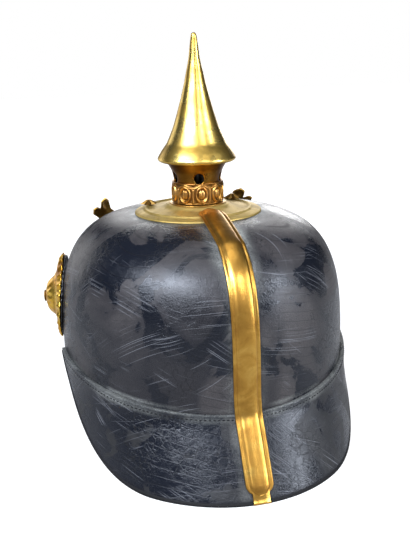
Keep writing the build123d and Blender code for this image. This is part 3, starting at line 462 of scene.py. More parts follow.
def waxed(name, dark="#060607", pale="#161618"):
    """Edge wax or waxed linen thread: dull, and worn a little paler in streaks.

    Its streaks are drawn 0.7 mm wide, coarser than a thread's real ply, so that they show.
    """
    material, tree, shader, place = new_material(name)
    ply = add(tree, "TexNoise", {"Vector": place, "Scale": per_metre(0.6667), "Detail": 2.0})
    shade = add(tree, "MixRGB", {"Fac": ply, "Color1": linear(dark), "Color2": linear(pale)})
    tree.links.new(shade.outputs[0], shader.inputs["Base Color"])
    bump = add(tree, "Bump", {"Height": ply, "Strength": 0.6, "Distance": 0.2 * millimetre})
    tree.links.new(bump.outputs["Normal"], shader.inputs["Normal"])
    shader.inputs["Roughness"].default_value = 0.75
    shader.inputs["Specular IOR Level"].default_value = 0.2
    return material


def rod_faces(stations, corners, start=0):
    """Faces of a rod that is stored as one ring of corners per station, closed at both ends."""
    last = start + (stations - 1) * corners
    return grid_faces(stations, corners, True, start=start) + [
        tuple(range(start, start + corners)), tuple(reversed(range(last, last + corners)))]


bead_points = []
for across in brim_angles(guard):
    edge = brim_edge(guard, across)
    above = brim_point(guard, across, edge.z + 1.0)
    climb = (above - edge).normalized()
    flat = brim_point(guard, across + 0.01, edge.z) - brim_point(guard, across - 0.01, edge.z)
    outward = flat.cross(climb).normalized()
    if outward.y < 0:
        outward = -outward
    middle = edge - outward * (brim_thickness / 2) + climb * (bead_radius - 0.5)
    for corner in range(bead_corners):
        turn = 2 * math.pi * corner / bead_corners
        bead_points.append(tuple(middle + outward * (bead_radius * math.cos(turn))
                                 + climb * (bead_radius * 1.15 * math.sin(turn))))
bead_piece = put_mesh("neck_guard_waxed_edge", bead_points,
                      rod_faces(len(bead_points) // bead_corners, bead_corners))
bead_piece.data.materials.append(waxed("burnished_black_edge_wax", "#0a0a0b", "#1d1c1c"))

# Stitching: waxed linen thread that holds each brim's collar to the skull, a little under its top
# edge. Each stitch is sunk half its thickness into the leather.
stitch_pitch = 2.5
stitch_length = 1.5
stitch_radius = 0.38
stitch_drop = 2.6
stitch_corner_gap = 3.0
stitch_corners = 6
tight_stitch = ((-0.5, 0.25), (-0.42, 0.8), (0.0, 1.0), (0.42, 0.8), (0.5, 0.25))


def pricked(line, pitch):
    """Number of each point of a line that an awl marks, one per pitch of its length."""
    run, marked = 0.0, []
    for number in range(1, len(line)):
        run += (line[number] - line[number - 1]).length
        if run >= pitch:
            run -= pitch
            marked.append(number)
    return marked


def sew(name, stitches, length, radius, rings, body="shell"):
    """One small capsule per stitch, given as its middle, its run and the two ways across it."""
    points, faces = [], []
    for middle, along, side, up in stitches:
        start = len(points)
        for share, thick in rings:
            for corner in range(stitch_corners):
                turn = 2 * math.pi * corner / stitch_corners
                push = side * math.cos(turn) + up * math.sin(turn)
                points.append(tuple(middle + along * (share * length) + push * (radius * thick)))
        faces += rod_faces(len(rings), stitch_corners, start)
    return put_mesh(name, points, faces, body)


def collar_stitches(name, brim):
    """The stitches along a brim's collar, clear of its corners."""
    line = []
    for across in (step * 0.001 for step in range(-1530, 1531)):
        top = brim_top(brim, across)
        if abs(top.y - brim["corner_y"]) >= stitch_corner_gap:
            line.append(brim_point(brim, across, top.z - stitch_drop, -0.05))
    hand = 1 if brim["tip_y"] > 0 else -1
    line = [p for p in line if hand * (p.y - brim["corner_y"]) > stitch_corner_gap]
    stitches = []
    for number in pricked(line, stitch_pitch):
        along = (line[number] - line[number - 1]).normalized()
        side = Vector((along.y, -along.x, 0)).normalized()
        stitches.append((line[number], along, side, along.cross(side)))
    return sew(name, stitches, stitch_length, stitch_radius, tight_stitch)


black_thread = waxed("pitched_linen_thread")
for stitching in (collar_stitches("guard_stitches", guard), collar_stitches("visor_stitches", visor)):
    stitching.data.materials.append(black_thread)

# Visor trim: a strip of sheet brass folded to a channel over the visor's edge and pinched tight,
# so that it grips the leather on both sides without a rivet.
trim_sheet = 0.8
trim_width = 5.0


def brass(name, light, middle, dark, tarnish="#4a2c0a", tarnish_amount=0.35, rough=0.24,
          grit=(0.5556, 0.5556, 0.5556), dusty=0.0):
    """Sheet brass, spun or pressed, once polished and now unevenly tarnished.

    The eye sees yellow metal where it was rubbed, orange-brown films that change over about 17 mm,
    darker hollows, fine polishing lines and a few specks of 2 mm. The mark "hollow" holds dirt.
    grit is the size of the polishing lines in millimetres along each axis: real ones are finer
    than 0.1 mm, and these are drawn coarse enough to show.
    """
    material, tree, shader, place = new_material(name)
    film = add(tree, "TexNoise", {"Vector": place, "Scale": per_metre(16.667), "Detail": 5.0,
                                  "Roughness": 0.55, "Distortion": 0.8})
    spots = add(tree, "TexNoise", {"Vector": place, "Scale": per_metre(2.381), "Detail": 4.0,
                                   "Roughness": 0.65})
    colour = add(tree, "ValToRGB", {"Fac": film},
                 stops=[(0.3, linear(dark)), (0.5, linear(middle)), (0.7, linear(light))])
    hollow = add(tree, "NewGeometry").outputs["Pointiness"]
    hollow = add(tree, "ValToRGB", {"Fac": hollow}, stops=[(0.40, 1.0), (0.49, 0.0)])
    pressed = add(tree, "Attribute", attribute_name="hollow").outputs["Fac"]
    dirt = add(tree, "Math", {0: hollow, 1: pressed}, operation="MAXIMUM")
    dirt = add(tree, "Math", {0: dirt, 1: 0.85}, operation="MULTIPLY")
    patch = add(tree, "ValToRGB", {"Fac": spots}, stops=[(0.58, 0.0), (0.72, 1.0)])
    patch = add(tree, "Math", {0: patch, 1: tarnish_amount, 2: dirt}, operation="MULTIPLY_ADD",
                use_clamp=True)
    aged = add(tree, "MixRGB", {"Fac": patch, "Color1": colour, "Color2": linear(tarnish)})
    lines = add(tree, "Mapping", {"Vector": place, "Scale": [per_metre(size) for size in grit]})
    lines = add(tree, "TexNoise", {"Vector": lines, "Scale": 1.0, "Detail": 3.0, "Roughness": 0.7})
    gloss = add(tree, "MapRange", {"Value": film, "From Min": 0.3, "From Max": 0.7,
                                   "To Min": rough + 0.14, "To Max": rough})
    gloss = add(tree, "Math", {0: lines, 1: 0.12, 2: gloss}, operation="MULTIPLY_ADD")
    gloss = add(tree, "Math", {0: patch, 1: 0.2, 2: gloss}, operation="MULTIPLY_ADD", use_clamp=True)
    tree.links.new(gloss.outputs[0], shader.inputs["Roughness"])
    shader.inputs["Metallic"].default_value = 1.0
    if dusty:
        # Dust and dried polish: a pale film that stops the metal from shining.
        powder = add(tree, "ValToRGB", {"Fac": spots}, stops=[(0.3, 1.0), (0.7, 0.3)])
        powder = add(tree, "Math", {0: powder, 1: dusty}, operation="MULTIPLY")
        aged = add(tree, "MixRGB", {"Fac": powder, "Color1": aged, "Color2": linear("#a29572")})
        shine = add(tree, "Math", {0: 1.0, 1: powder}, operation="SUBTRACT")
        tree.links.new(shine.outputs[0], shader.inputs["Metallic"])
    tree.links.new(aged.outputs[0], shader.inputs["Base Color"])
    height = add(tree, "Math", {0: lines, 1: spots}, operation="ADD")
    bump = add(tree, "Bump", {"Height": height, "Strength": 0.12, "Distance": 0.3 * millimetre})
    dent = add(tree, "Bump", {"Height": film, "Strength": 0.15, "Distance": millimetre,
                              "Normal": bump})
    tree.links.new(dent.outputs["Normal"], shader.inputs["Normal"])
    return material


def edge_frames(brim, angles):
    """Point, direction along the edge, outward normal and inward direction at each angle."""
    spots = [brim_edge(brim, across) for across in angles]
    made = []
    for number, across in enumerate(angles):
        before, after = spots[max(0, number - 1)], spots[min(len(spots) - 1, number + 1)]
        along = (after - before).normalized()
        low = brim_point(brim, across, spots[number].z + 0.5) - spots[number]
        normal = along.cross(low).normalized()
        if normal.x * spots[number].x + normal.y * spots[number].y < 0:
            normal = -normal
        inward = normal.cross(along).normalized()
        if inward.z < 0:
            inward = -inward
        made.append((spots[number], along, normal, inward))
    return made


trim_profile = (
    (trim_width, 0.05), (trim_width, trim_sheet * 0.8), (trim_width - 0.6, trim_sheet),
    (1.0, trim_sheet), (0.25, trim_sheet * 0.85), (0.0, 0.2), (0.0, -brim_thickness - 0.2),
    (0.25, -brim_thickness - trim_sheet * 0.85), (1.0, -brim_thickness - trim_sheet),
    (trim_width - 0.6, -brim_thickness - trim_sheet),
    (trim_width, -brim_thickness - trim_sheet * 0.8), (trim_width, -brim_thickness - 0.05),
    (0.9, -brim_thickness - 0.02), (0.9, 0.02),
)
trim_points = []
for spot, along, normal, inward in edge_frames(visor, brim_angles(visor, 170)):
    for up, out in trim_profile:
        trim_points.append(tuple(spot + inward * up + normal * out))
trim_stations = len(trim_points) // len(trim_profile)
trim_piece = put_mesh("visor_trim_channel", trim_points, rod_faces(trim_stations, len(trim_profile)))
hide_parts("visor_trim")
sheet_brass = brass("rolled_sheet_brass", "#ddb76c", "#bd9350", "#8e6a34")
trim_piece.data.materials.append(sheet_brass)

# Rear spine: a strip of sheet brass with a raised channel pressed along it. Its rounded top end lies
# on the base plate, and a narrow tongue at its foot hooks round the neck guard's edge.
spine_channel_width = 11.4
spine_channel_height = 2.4
spine_sheet = 0.7
spine_lift = 0.35
spine_step = 1.2
hook_width = 9.6
hook_return = 8.0
plate_foot_rise = 5.4
guard_slope_out = abs(guard["tip_y"]) - collar_half_length
guard_slope = math.atan2(guard_slope_out, guard["bend"])


def crown_height_at(x, y):
    """Height of the dome's outside over a point of the plan."""
    out = math.hypot(x / skull_half_width, y / skull_half_length)
    share = max(0.0, 1 - min(1.0, out) ** side_power) ** (1 / crown_power)
    return skull_wall_foot + (skull_crown_height - skull_wall_foot) * share


def smooth_path(points, step):
    """Points along one smooth line through the given ones, a step apart."""
    ends = [2 * points[0] - points[1]] + list(points) + [2 * points[-1] - points[-2]]
    fine, parts = [], 40
    for a, b, c, d in zip(ends, ends[1:], ends[2:], ends[3:]):
        for part in range(parts):
            t = part / parts
            fine.append(0.5 * (2 * b + (c - a) * t + (2 * a - 5 * b + 4 * c - d) * t ** 2
                               + (3 * b - a - 3 * c + d) * t ** 3))
    fine.append(points[-1])
    runs = np.cumsum([0.0] + [(q - p).length for p, q in zip(fine, fine[1:])])
    count = max(2, round(runs[-1] / step))
    spaced = []
    for number in range(count + 1):
        run = runs[-1] * number / count
        after = min(len(fine) - 1, max(1, int(np.searchsorted(runs, run))))
        share = (run - runs[after - 1]) / max(1e-9, runs[after] - runs[after - 1])
        spaced.append(fine[after - 1].lerp(fine[after], float(min(1.0, max(0.0, share)))))
    return spaced


def strip_along(path, profile, width_at=None):
    """Points and faces of a section carried along a path in the YZ plane; it faces outward."""
    points = []
    for number, spot in enumerate(path):
        before, after = path[max(0, number - 1)], path[min(len(path) - 1, number + 1)]
        along = (after - before).normalized()
        out = Vector((0, -along.z, along.y))
        wide, high = width_at(number, len(path)) if width_at else (1.0, 1.0)
        for x, h in profile:
            points.append(tuple(spot + Vector((x * wide, 0, 0)) + out * (h * high)))
    return points, rod_faces(len(path), len(profile))


plate_edge_z = crown_height_at(0, plate_radius)
spine_line = [
    Vector((0, 23.6, plate_edge_z + plate_foot_rise - 0.9)),
    Vector((0, 31.0, plate_edge_z + 3.6)),
    Vector((0, plate_radius, plate_edge_z + 2.5)),
]
for turn in (26, 34, 42, 51, 60, 69, 78, 86):
    share = math.sin(math.radians(turn)) ** (2 / side_power)
    spine_line.append(Vector((
        0, (skull_half_length + spine_lift) * share,
        skull_wall_foot + (skull_crown_height + spine_lift - skull_wall_foot)
        * math.cos(math.radians(turn)) ** (2 / crown_power),
    )))
for height_share, step_share in ((1.3, 0.05), (1.12, 0.5), (1.0, 1.0)):
    spine_line.append(Vector((
        0, skull_half_length + spine_lift + step_share * brim_thickness,
        guard["bend"] * height_share,
    )))
for height_share in (0.85, 0.65, 0.4, 0.2, 0.1):
    spine_line.append(Vector((
        0, guard["tip_y"] - guard_slope_out * height_share + spine_lift / math.cos(guard_slope),
        guard["bend"] * height_share,
    )))
channel_half = spine_channel_width / 2
spine_profile = [(-spine_width / 2, 0.12), (-spine_width / 2 + 0.15, 0.58), (-7.1, 0.74),
                 (-6.3, 0.74), (-channel_half - 0.15, 0.6)]
for step in range(17):
    x = -channel_half + spine_channel_width * step / 16
    lift = (1 - (x / channel_half) ** 2) ** 0.5 if abs(x) < channel_half else 0.0
    spine_profile.append((x, 0.66 + (spine_channel_height - 0.66) * lift ** 0.9))
spine_profile += [(-x, h) for x, h in reversed(spine_profile[:5])]
spine_under = []
for step in range(11):
    x = -channel_half + spine_sheet + (spine_channel_width - 2 * spine_sheet) * step / 10
    lift = (1 - (x / (channel_half - spine_sheet)) ** 2) if step not in (0, 10) else 0.0
    spine_under.append((x, (spine_channel_height - spine_sheet) * max(0.0, lift) ** 0.5))
spine_profile += list(reversed(spine_under))


def spine_ends(number, count):
    """Width and height of the spine's section: both ends are rounded in plan."""
    nose = spine_width / 2
    from_top = number * spine_step
    from_foot = (count - 1 - number) * spine_step
    wide = high = 1.0
    for away, bluntness in ((from_top, nose), (from_foot, nose * 0.8)):
        if away < bluntness:
            reach = math.sqrt(max(0.0, 1 - (1 - away / bluntness) ** 2))
            wide, high = max(0.1, reach), max(0.35, reach ** 0.5)
    return wide, high


spine_points, spine_faces = strip_along(smooth_path(spine_line, spine_step), spine_profile, spine_ends)
spine_piece = put_mesh("rear_spine_strip", spine_points, spine_faces)
hook_out = spine_lift + spine_sheet / 2
inside = (brim_thickness + leather_fit + spine_sheet) / math.cos(guard_slope)
hook_line = [
    Vector((0, guard["tip_y"] - guard_slope_out * 0.3 + hook_out / math.cos(guard_slope),
            guard["bend"] * 0.3)),
    Vector((0, guard["tip_y"] - guard_slope_out * 0.15 + hook_out / math.cos(guard_slope),
            guard["bend"] * 0.15)),
    Vector((0, guard["tip_y"] - 0.8, 2.4)),
    Vector((0, guard["tip_y"] + 0.45, 0.7)),
    Vector((0, guard["tip_y"] - 0.3, spine_sheet * 0.5)),
    Vector((0, guard["tip_y"] - inside + 0.5, spine_sheet * 0.5)),
    Vector((0, guard["tip_y"] - inside - 0.3, 1.1)),
    Vector((0, guard["tip_y"] - inside - hook_return * math.sin(guard_slope),
            spine_sheet / 2 + hook_return * math.cos(guard_slope))),
]
hook_profile = [(-hook_width / 2, -0.2), (-hook_width / 2, 0.2), (-hook_width / 2 + 0.2, 0.35),
                (hook_width / 2 - 0.2, 0.35), (hook_width / 2, 0.2), (hook_width / 2, -0.2),
                (hook_width / 2 - 0.2, -0.35), (-hook_width / 2 + 0.2, -0.35)]
hook_points, hook_faces = strip_along(smooth_path(hook_line, 0.5), hook_profile)
hook_piece = put_mesh("rear_spine_hook", hook_points, hook_faces)
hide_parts("rear_spine")
spine_brass = brass("pressed_spine_brass", "#dcb05a", "#bd8e40", "#93672c", tarnish="#6a4820",
                    tarnish_amount=0.2, rough=0.2, grit=(0.3704, 4.167, 4.167))
for piece in (spine_piece, hook_piece):
    piece.data.materials.append(spine_brass)

# Base plate: a brass disc spun over a wooden form, with a sloping rim, a bead and a hollow rise to
# the neck. Dust and dried polish lie on it in patches, so it looks paler than the rest.


def spin(name, profile, segments=180, body="shell", marks=None):
    """Turns a line of (radius, height) points round the spike's axis."""
    points = []
    for radius, z in profile:
        for step in range(segments):
            turn = 2 * math.pi * step / segments
            points.append((radius * math.cos(turn), radius * math.sin(turn), z))
    return put_mesh(name, points, grid_faces(len(profile), segments, True), body, marks)


def fine_profile(profile, step=0.6):
    """A smooth line through (radius, height) points."""
    path = smooth_path([Vector((r, z, 0)) for r, z in profile], step)
    return [(p.x, p.y) for p in path]


plate_sheet = 0.9
plate_profile = [(r, plate_edge_z + rise) for r, rise in (
    (38.9, 0.05), (38.85, 0.55), (38.3, 1.0), (36.6, 1.5), (34.8, 1.9), (33.75, 2.0), (33.3, 2.3),
    (32.75, 2.85), (32.1, 3.05), (31.5, 2.75), (31.0, 2.3), (30.2, 2.2), (27.8, 2.45), (24.8, 2.85),
    (21.8, 3.35), (20.2, 3.95), (19.0, 4.85), (18.2, 5.3), (17.3, 5.38), (13.6, 5.38),
)]
plate_piece = spin("base_plate_spinning", fine_profile(plate_profile))
thicken(plate_piece, plate_sheet, -1.0)
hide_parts("base_plate")
plate_piece.data.materials.append(
    brass("dusty_spun_brass", "#dcbb68", "#b89a4c", "#8a7036", tarnish="#5a4723", tarnish_amount=0.45,
          rough=0.38, dusty=0.3))

# Star studs: eight-pointed heads of cast brass on screws that clamp the base plate to the crown,
# with washers and nuts inside. Their shapes come from the frame.


def refinish(node_name, material):
    """Gives a piece of the frame its finish."""
    slots = nodes[node_name].data.materials
    slots.clear()
    slots.append(material)


refinish("plate_studs", brass("cast_stud_brass", "#cfa960", "#98753c", "#5c421c", rough=0.26))

# Spike neck: spun brass, flared like a trumpet to carry the spike, with five punched vent holes.
# Its tarnish is an even orange-brown, because hands and polish never reached it.
neck_waist_radius = 14.2
neck_top_radius = 18.7
neck_foot_radius = 17.4
neck_foot_z = plate_edge_z + plate_foot_rise
neck_top_z = 167.4
neck_wall = 1.0
vent_radius = 3.3
vent_z = 158.0
vent_count = 5
vent_turn = math.radians(79.5)
neck_table = ((0.0, 0.0), (0.2, 0.0), (0.45, 0.0), (0.62, 0.06), (0.8, 0.33), (0.92, 0.72), (1.0, 1.0))
neck_curve = smooth_path([Vector((
    neck_waist_radius + (neck_top_radius - neck_waist_radius) * flare,
    neck_foot_z + (neck_top_z - neck_foot_z) * share, 0)) for share, flare in neck_table], 0.3)
neck_heights = [p.y for p in neck_curve]
neck_radii = [p.x for p in neck_curve]
vent_cells, ring_cells, out_cells = 24, 4, 9
neck_rows_below, neck_rows_above = 22, 13
below_step = (vent_z - neck_foot_z - 0.6) / neck_rows_below
above_step = (neck_top_z - vent_z) / neck_rows_above
neck_columns = vent_cells * vent_count
cell_width = 2 * math.pi * 15.0 / neck_columns
neck_points, neck_faces = [], []
for row in range(-neck_rows_below, neck_rows_above + 1):
    for column in range(neck_columns):
        across = (column + vent_cells // 2) % vent_cells - vent_cells // 2
        up = row * (below_step if row < 0 else above_step)
        side = across * cell_width
        ring = max(abs(across), abs(row))
        if 0 < ring < out_cells:
            away = math.hypot(side, up)
            round_to = vent_radius * ring / ring_cells
            blend = 1.0 if ring <= ring_cells else (out_cells - ring) / (out_cells - ring_cells)
            side, up = (p * ((1 - blend) + blend * round_to / away) for p in (side, up))
        z = vent_z + up
        radius = float(np.interp(z, neck_heights, neck_radii))
        vent_number = (column + vent_cells // 2) // vent_cells
        turn = vent_turn + 2 * math.pi * vent_number / vent_count + side / cell_width * (
            2 * math.pi / neck_columns)
        neck_points.append((radius * math.cos(turn), radius * math.sin(turn), z))
neck_rows = neck_rows_below + neck_rows_above + 1
for face in grid_faces(neck_rows, neck_columns, True):
    rings = []
    for point in face:
        row, column = point // neck_columns - neck_rows_below, point % neck_columns
        across = (column + vent_cells // 2) % vent_cells - vent_cells // 2
        rings.append(max(abs(across), abs(row)))
    if max(rings) > ring_cells:
        neck_faces.append(face)
used = sorted({point for face in neck_faces for point in face})
renumber = {point: number for number, point in enumerate(used)}
neck_piece = put_mesh("spike_neck_spinning", [neck_points[point] for point in used],
                      [tuple(renumber[point] for point in face) for face in neck_faces])
thicken(neck_piece, neck_wall, -1.0)
flange_piece = spin("spike_neck_flange", [
    (neck_waist_radius - 0.4, neck_foot_z), (neck_foot_radius - 0.2, neck_foot_z),
    (neck_foot_radius, neck_foot_z + 0.2), (neck_foot_radius, neck_foot_z + 0.45),
    (neck_foot_radius - 0.2, neck_foot_z + 0.6), (neck_waist_radius + 0.4, neck_foot_z + 0.7),
    (neck_waist_radius - 0.4, neck_foot_z + 0.7)])
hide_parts("spike_neck")
neck_brass = brass("tarnished_spun_brass", "#8f6526", "#6d4716", "#4b2e0c", tarnish="#2f1c08",
                   rough=0.2, grit=(3.333, 3.333, 0.2778))
neck_piece.data.materials.append(neck_brass)
flange_piece.data.materials.append(
    brass("rubbed_flange_brass", "#d9b468", "#b28c48", "#7c5c2a", rough=0.24))

# Bridge, nuts, washers, rivets and the spike's stud: mild steel, turned or stamped, that holds the
# fittings from inside the skull and carries the spike. Their shapes come from the frame.
steel_nodes = ("neck_bridge", "plate_nuts", "front_plate_nuts", "side_nut_left", "side_nut_right",
               "spine_posts", "spike_stud")


def plain_steel(name):
    """Mild steel, oiled and gone grey-brown, with a little rust in specks of 3 mm, and darker as painted
    shade.
    """
    material, tree, shader, place = new_material(name)
    rust = add(tree, "TexNoise", {"Vector": place, "Scale": per_metre(2.857), "Detail": 5.0,
                                  "Roughness": 0.6})
    # These greys are darker than bare oiled steel: painted shade for the dim inside of the neck and skull.
    shade = add(tree, "ValToRGB", {"Fac": rust}, stops=[
        (0.4, linear("#5f5d59")), (0.58, linear("#47423c")), (0.72, linear("#3d2716"))])
    tree.links.new(shade.outputs[0], shader.inputs["Base Color"])
    metal = add(tree, "ValToRGB", {"Fac": rust}, stops=[(0.55, 1.0), (0.7, 0.2)])
    tree.links.new(metal.outputs[0], shader.inputs["Metallic"])
    bump = add(tree, "Bump", {"Height": rust, "Strength": 0.3, "Distance": 0.2 * millimetre})
    tree.links.new(bump.outputs["Normal"], shader.inputs["Normal"])
    shader.inputs["Roughness"].default_value = 0.42
    return material


steel = plain_steel("mild_steel_in_painted_shade")
for name in steel_nodes:
    refinish(name, steel)

# Egg ring: a band of brass pressed with an egg-and-dart pattern and soldered round the neck's waist.
# Each egg sits in a raised frame; darts stand between the frames and small arcs run above them.
ring_bottom_z = 142.9
ring_top_z = 155.2
egg_count = 9
egg_turn = math.radians(85.0)
ring_inner = neck_waist_radius + leather_fit
ring_base = ring_inner + 0.7


def bump_at(value, centre, width):
    """Height of a rounded ridge of a given half width."""
    return math.exp(-((value - centre) / width) ** 2)


def egg_relief(across, up):
    """How far the pattern stands out: across runs over one egg, up from -1 to 1."""
    reach = math.hypot(across / 0.31, (up + 0.08) / 0.74)
    height = 1.0 * bump_at(reach, 1.0, 0.17)
    if reach < 0.66:
        height = max(height, 0.95 * math.sqrt(1 - (reach / 0.66) ** 2) - 0.5 * bump_at(across, 0, 0.045))
    dart = abs(abs(across) - 0.5)
    if up < 0.45:
        height = max(height, 0.75 * bump_at(dart, 0, 0.05 + 0.05 * max(0.0, up + 0.4)))
    arch = 0.7 + 0.15 * math.cos(2 * math.pi * across)
    height = max(height, 0.75 * bump_at(up, arch, 0.09))
    leaf = 0.55 * bump_at(dart, 0, 0.11) * bump_at(up, -0.8, 0.12)
    rim = 0.55 * bump_at(abs(up), 1.0, 0.08)
    return max(height, leaf, rim)


ring_points, ring_hollow, egg_columns, ring_rows = [], [], 44, 56
for row in range(ring_rows):
    up = -1 + 2 * row / (ring_rows - 1)
    z = (ring_top_z + ring_bottom_z) / 2 + up * (ring_top_z - ring_bottom_z) / 2
    for column in range(egg_count * egg_columns):
        across = column / egg_columns
        turn = egg_turn + 2 * math.pi * across / egg_count
        across = (across + 0.5) % 1.0 - 0.5
        relief = egg_relief(across, up)
        radius = ring_base + relief * 1.15
        ring_hollow.append(max(0.0, 1 - relief / 0.5))
        ring_points.append((radius * math.cos(turn), radius * math.sin(turn), z))
for z in (ring_top_z, ring_bottom_z):
    for column in range(egg_count * egg_columns):
        turn = egg_turn + 2 * math.pi * column / (egg_count * egg_columns)
        ring_points.append((ring_inner * math.cos(turn), ring_inner * math.sin(turn), z))
        ring_hollow.append(0.3)
ring_piece = put_mesh("egg_and_dart_ring", ring_points,
                      grid_faces(ring_rows + 2, egg_count * egg_columns, True, True),
                      marks={"hollow": ring_hollow})
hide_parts("egg_ring")
ring_piece.data.materials.append(
    brass("pressed_ring_brass", "#cf9d5c", "#a87838", "#734e20", tarnish="#3a2009",
          tarnish_amount=0.3, rough=0.22))

# Spike: brass spun to a hollow cone with a rolled lip, and lifted off with the stud inside it. It was
# polished often, so it is the yellowest piece, with fine rings left by the lathe.
spike_profile = [
    (17.3, 168.6), (17.3, 167.45), (18.6, 167.4), (21.4, 167.4), (22.6, 167.55), (23.35, 168.05),
    (23.75, 168.75), (23.7, 169.45), (23.2, 170.4), (22.3, 171.9), (21.1, 173.9), (19.5, 176.2),
    (17.8, 178.6), (15.7, 183.2), (13.8, 187.9), (12.3, 192.5), (10.2, 199.5), (8.3, 206.4),
    (6.5, 213.4), (5.0, 220.3), (3.5, 227.3), (2.6, 234.3), (1.95, 239.0), (1.6, 241.0), (1.15, 241.95),
    (0.5, 242.35), (0.02, 242.4),
]
spike_piece = spin("spike_cone_spinning", fine_profile(spike_profile, 0.8), 160, "spike")
thicken(spike_piece, 0.6, -1.0)
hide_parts("spike_cone")
spike_piece.data.materials.append(
    brass("polished_spun_brass", "#ecd07a", "#d3af58", "#a4823a", tarnish="#7b5e24",
          tarnish_amount=0.25, rough=0.17, grit=(5.556, 5.556, 0.1667)))

# Front plate: an eagle with spread wings, struck from thin sheet brass and curved to the skull.
# Breast, wings and feathers stand out as the die shaped them; two screws hold it, through the skull.
eagle_crown_height = 146.0
eagle_stand = 3.2
eagle_sheet = 1.0
eagle_half_width = 57.0
eagle_foot_z = 66.0
eagle_tip_z = 136.6
eagle_height = eagle_tip_z - eagle_foot_z
wing_outline = (
    (0, 0), (0.1, 0.02), (0.2, 0.1), (0.11, 0.2), (0.3, 0.1), (0.38, 0.17), (0.32, 0.22),
    (0.46, 0.2), (0.5, 0.27), (0.6, 0.27), (0.62, 0.36), (0.72, 0.38), (0.72, 0.48), (0.82, 0.52),
    (0.81, 0.62), (0.91, 0.68), (0.89, 0.77), (0.985, 0.84), (0.985, 0.9), (0.94, 0.92),
    (0.89, 0.89), (0.89, 0.97), (0.84, 1.0), (0.79, 0.97), (0.75, 0.86), (0.64, 0.78), (0.48, 0.71),
    (0.3, 0.67), (0.2, 0.67), (0.165, 0.7), (0.14, 0.74), (0.125, 0.77),
)
# Quills run from the wing's arm to the tips of the outline, in shares of half width and height.
quills = (
    ((0.2, 0.62), (0.37, 0.15)), ((0.27, 0.63), (0.48, 0.22)), ((0.34, 0.65), (0.6, 0.29)),
    ((0.42, 0.67), (0.715, 0.4)), ((0.5, 0.7), (0.815, 0.54)), ((0.57, 0.73), (0.905, 0.69)),
    ((0.64, 0.77), (0.98, 0.86)), ((0.72, 0.84), (0.84, 0.985)),
)
tail_quills = (((0.0, 0.3), (0.0, 0.02)), ((0.04, 0.3), (0.1, 0.04)), ((0.06, 0.28), (0.19, 0.1)))
arm_line = ((0.14, 0.66), (0.3, 0.655), (0.45, 0.68), (0.6, 0.745), (0.72, 0.84), (0.8, 0.93))


def inside_outline(x, z, outline):
    """Whether a point lies inside an outline, in shares."""
    inside = False
    for (x0, z0), (x1, z1) in zip(outline, outline[1:] + outline[:1]):
        if (z0 > z) != (z1 > z) and x < (x1 - x0) * (z - z0) / (z1 - z0) + x0:
            inside = not inside
    return inside


def line_away(x, z, start, end):
    """Distance in millimetres from a stretch between two shares, and how far along it is."""
    px, pz = x * eagle_half_width, z * eagle_height
    ax, az = start[0] * eagle_half_width, start[1] * eagle_height
    bx, bz = end[0] * eagle_half_width, end[1] * eagle_height
    run = (bx - ax) ** 2 + (bz - az) ** 2
    along = min(1.0, max(0.0, ((px - ax) * (bx - ax) + (pz - az) * (bz - az)) / run))
    return math.hypot(px - ax - along * (bx - ax), pz - az - along * (bz - az)), along


def eagle_relief(x, z):
    """How far the struck metal stands out at a place, in millimetres."""
    side_x, x = x, abs(x)
    height = 0.0
    for start, end in quills:
        away, along = line_away(x, z, start, end)
        wide = 3.4 + 0.8 * along
        if away < wide:
            height = max(height, 1.15 * math.sqrt(1 - (away / wide) ** 2) * (0.8 + 0.2 * along)
                         - 0.35 * bump_at(away, 0, 0.35))
    for start, end in zip(arm_line, arm_line[1:]):
        away, along = line_away(x, z, start, end)
        if away < 4.6:
            scale = 0.25 * math.cos((x * eagle_half_width + z * eagle_height) * 2 * math.pi / 3.4)
            height = max(height, 1.9 * math.sqrt(1 - (away / 4.6) ** 2) + scale)
    breast = math.hypot(x / 0.23, (z - 0.48) / 0.24)
    if breast < 1:
        row = z * eagle_height / 3.1
        across = x * eagle_half_width / 3.4 + 0.5 * (math.floor(row) % 2)
        plume = 0.3 * abs(math.cos(math.pi * across)) * (1 - (row % 1.0) * 0.8)
        height = max(height, 3.0 * math.sqrt(1 - breast ** 2) ** 1.2 + plume)
    for start, end in tail_quills:
        away, along = line_away(x, z, start, end)
        if away < 3.0:
            height = max(height, 1.1 * math.sqrt(1 - (away / 3.0) ** 2) - 0.3 * bump_at(away, 0, 0.3))
    neck = math.hypot(x / 0.12, (z - 0.68) / 0.13)
    if neck < 1:
        height = max(height, 2.6 * math.sqrt(1 - neck ** 2))
    # The head is turned to the wearer's right, with a hooked beak, a brow and an eye.
    head = math.hypot(side_x / 0.1, (z - 0.815) / 0.064)
    if head < 1:
        height = max(height, 3.2 * math.sqrt(1 - head ** 2))
    beak, along = line_away(side_x, z, (-0.06, 0.822), (-0.18, 0.792))
    if beak < 2.6:
        height = max(height, (2.6 - 1.2 * along) * math.sqrt(1 - (beak / 2.6) ** 2))
    eye, _ = line_away(side_x, z, (-0.035, 0.826), (-0.03, 0.826))
    height -= 0.7 * bump_at(eye, 0, 1.1)
    leg, _ = line_away(x, z, (0.1, 0.28), (0.2, 0.14))
    return max(height, 1.6 * bump_at(leg, 0, 1.8), 0.15)


def on_skull(x, z, out):
    """Point over the front of the skull, at a distance out from the plate's back."""
    grow = eagle_stand + out
    share = wall_share(z, grow, eagle_crown_height)
    half_width = (skull_half_width + grow) * share
    y = -(skull_half_length + grow) * share * math.sqrt(max(0.0, 1 - (x / half_width) ** 2))
    return (x, y, z)


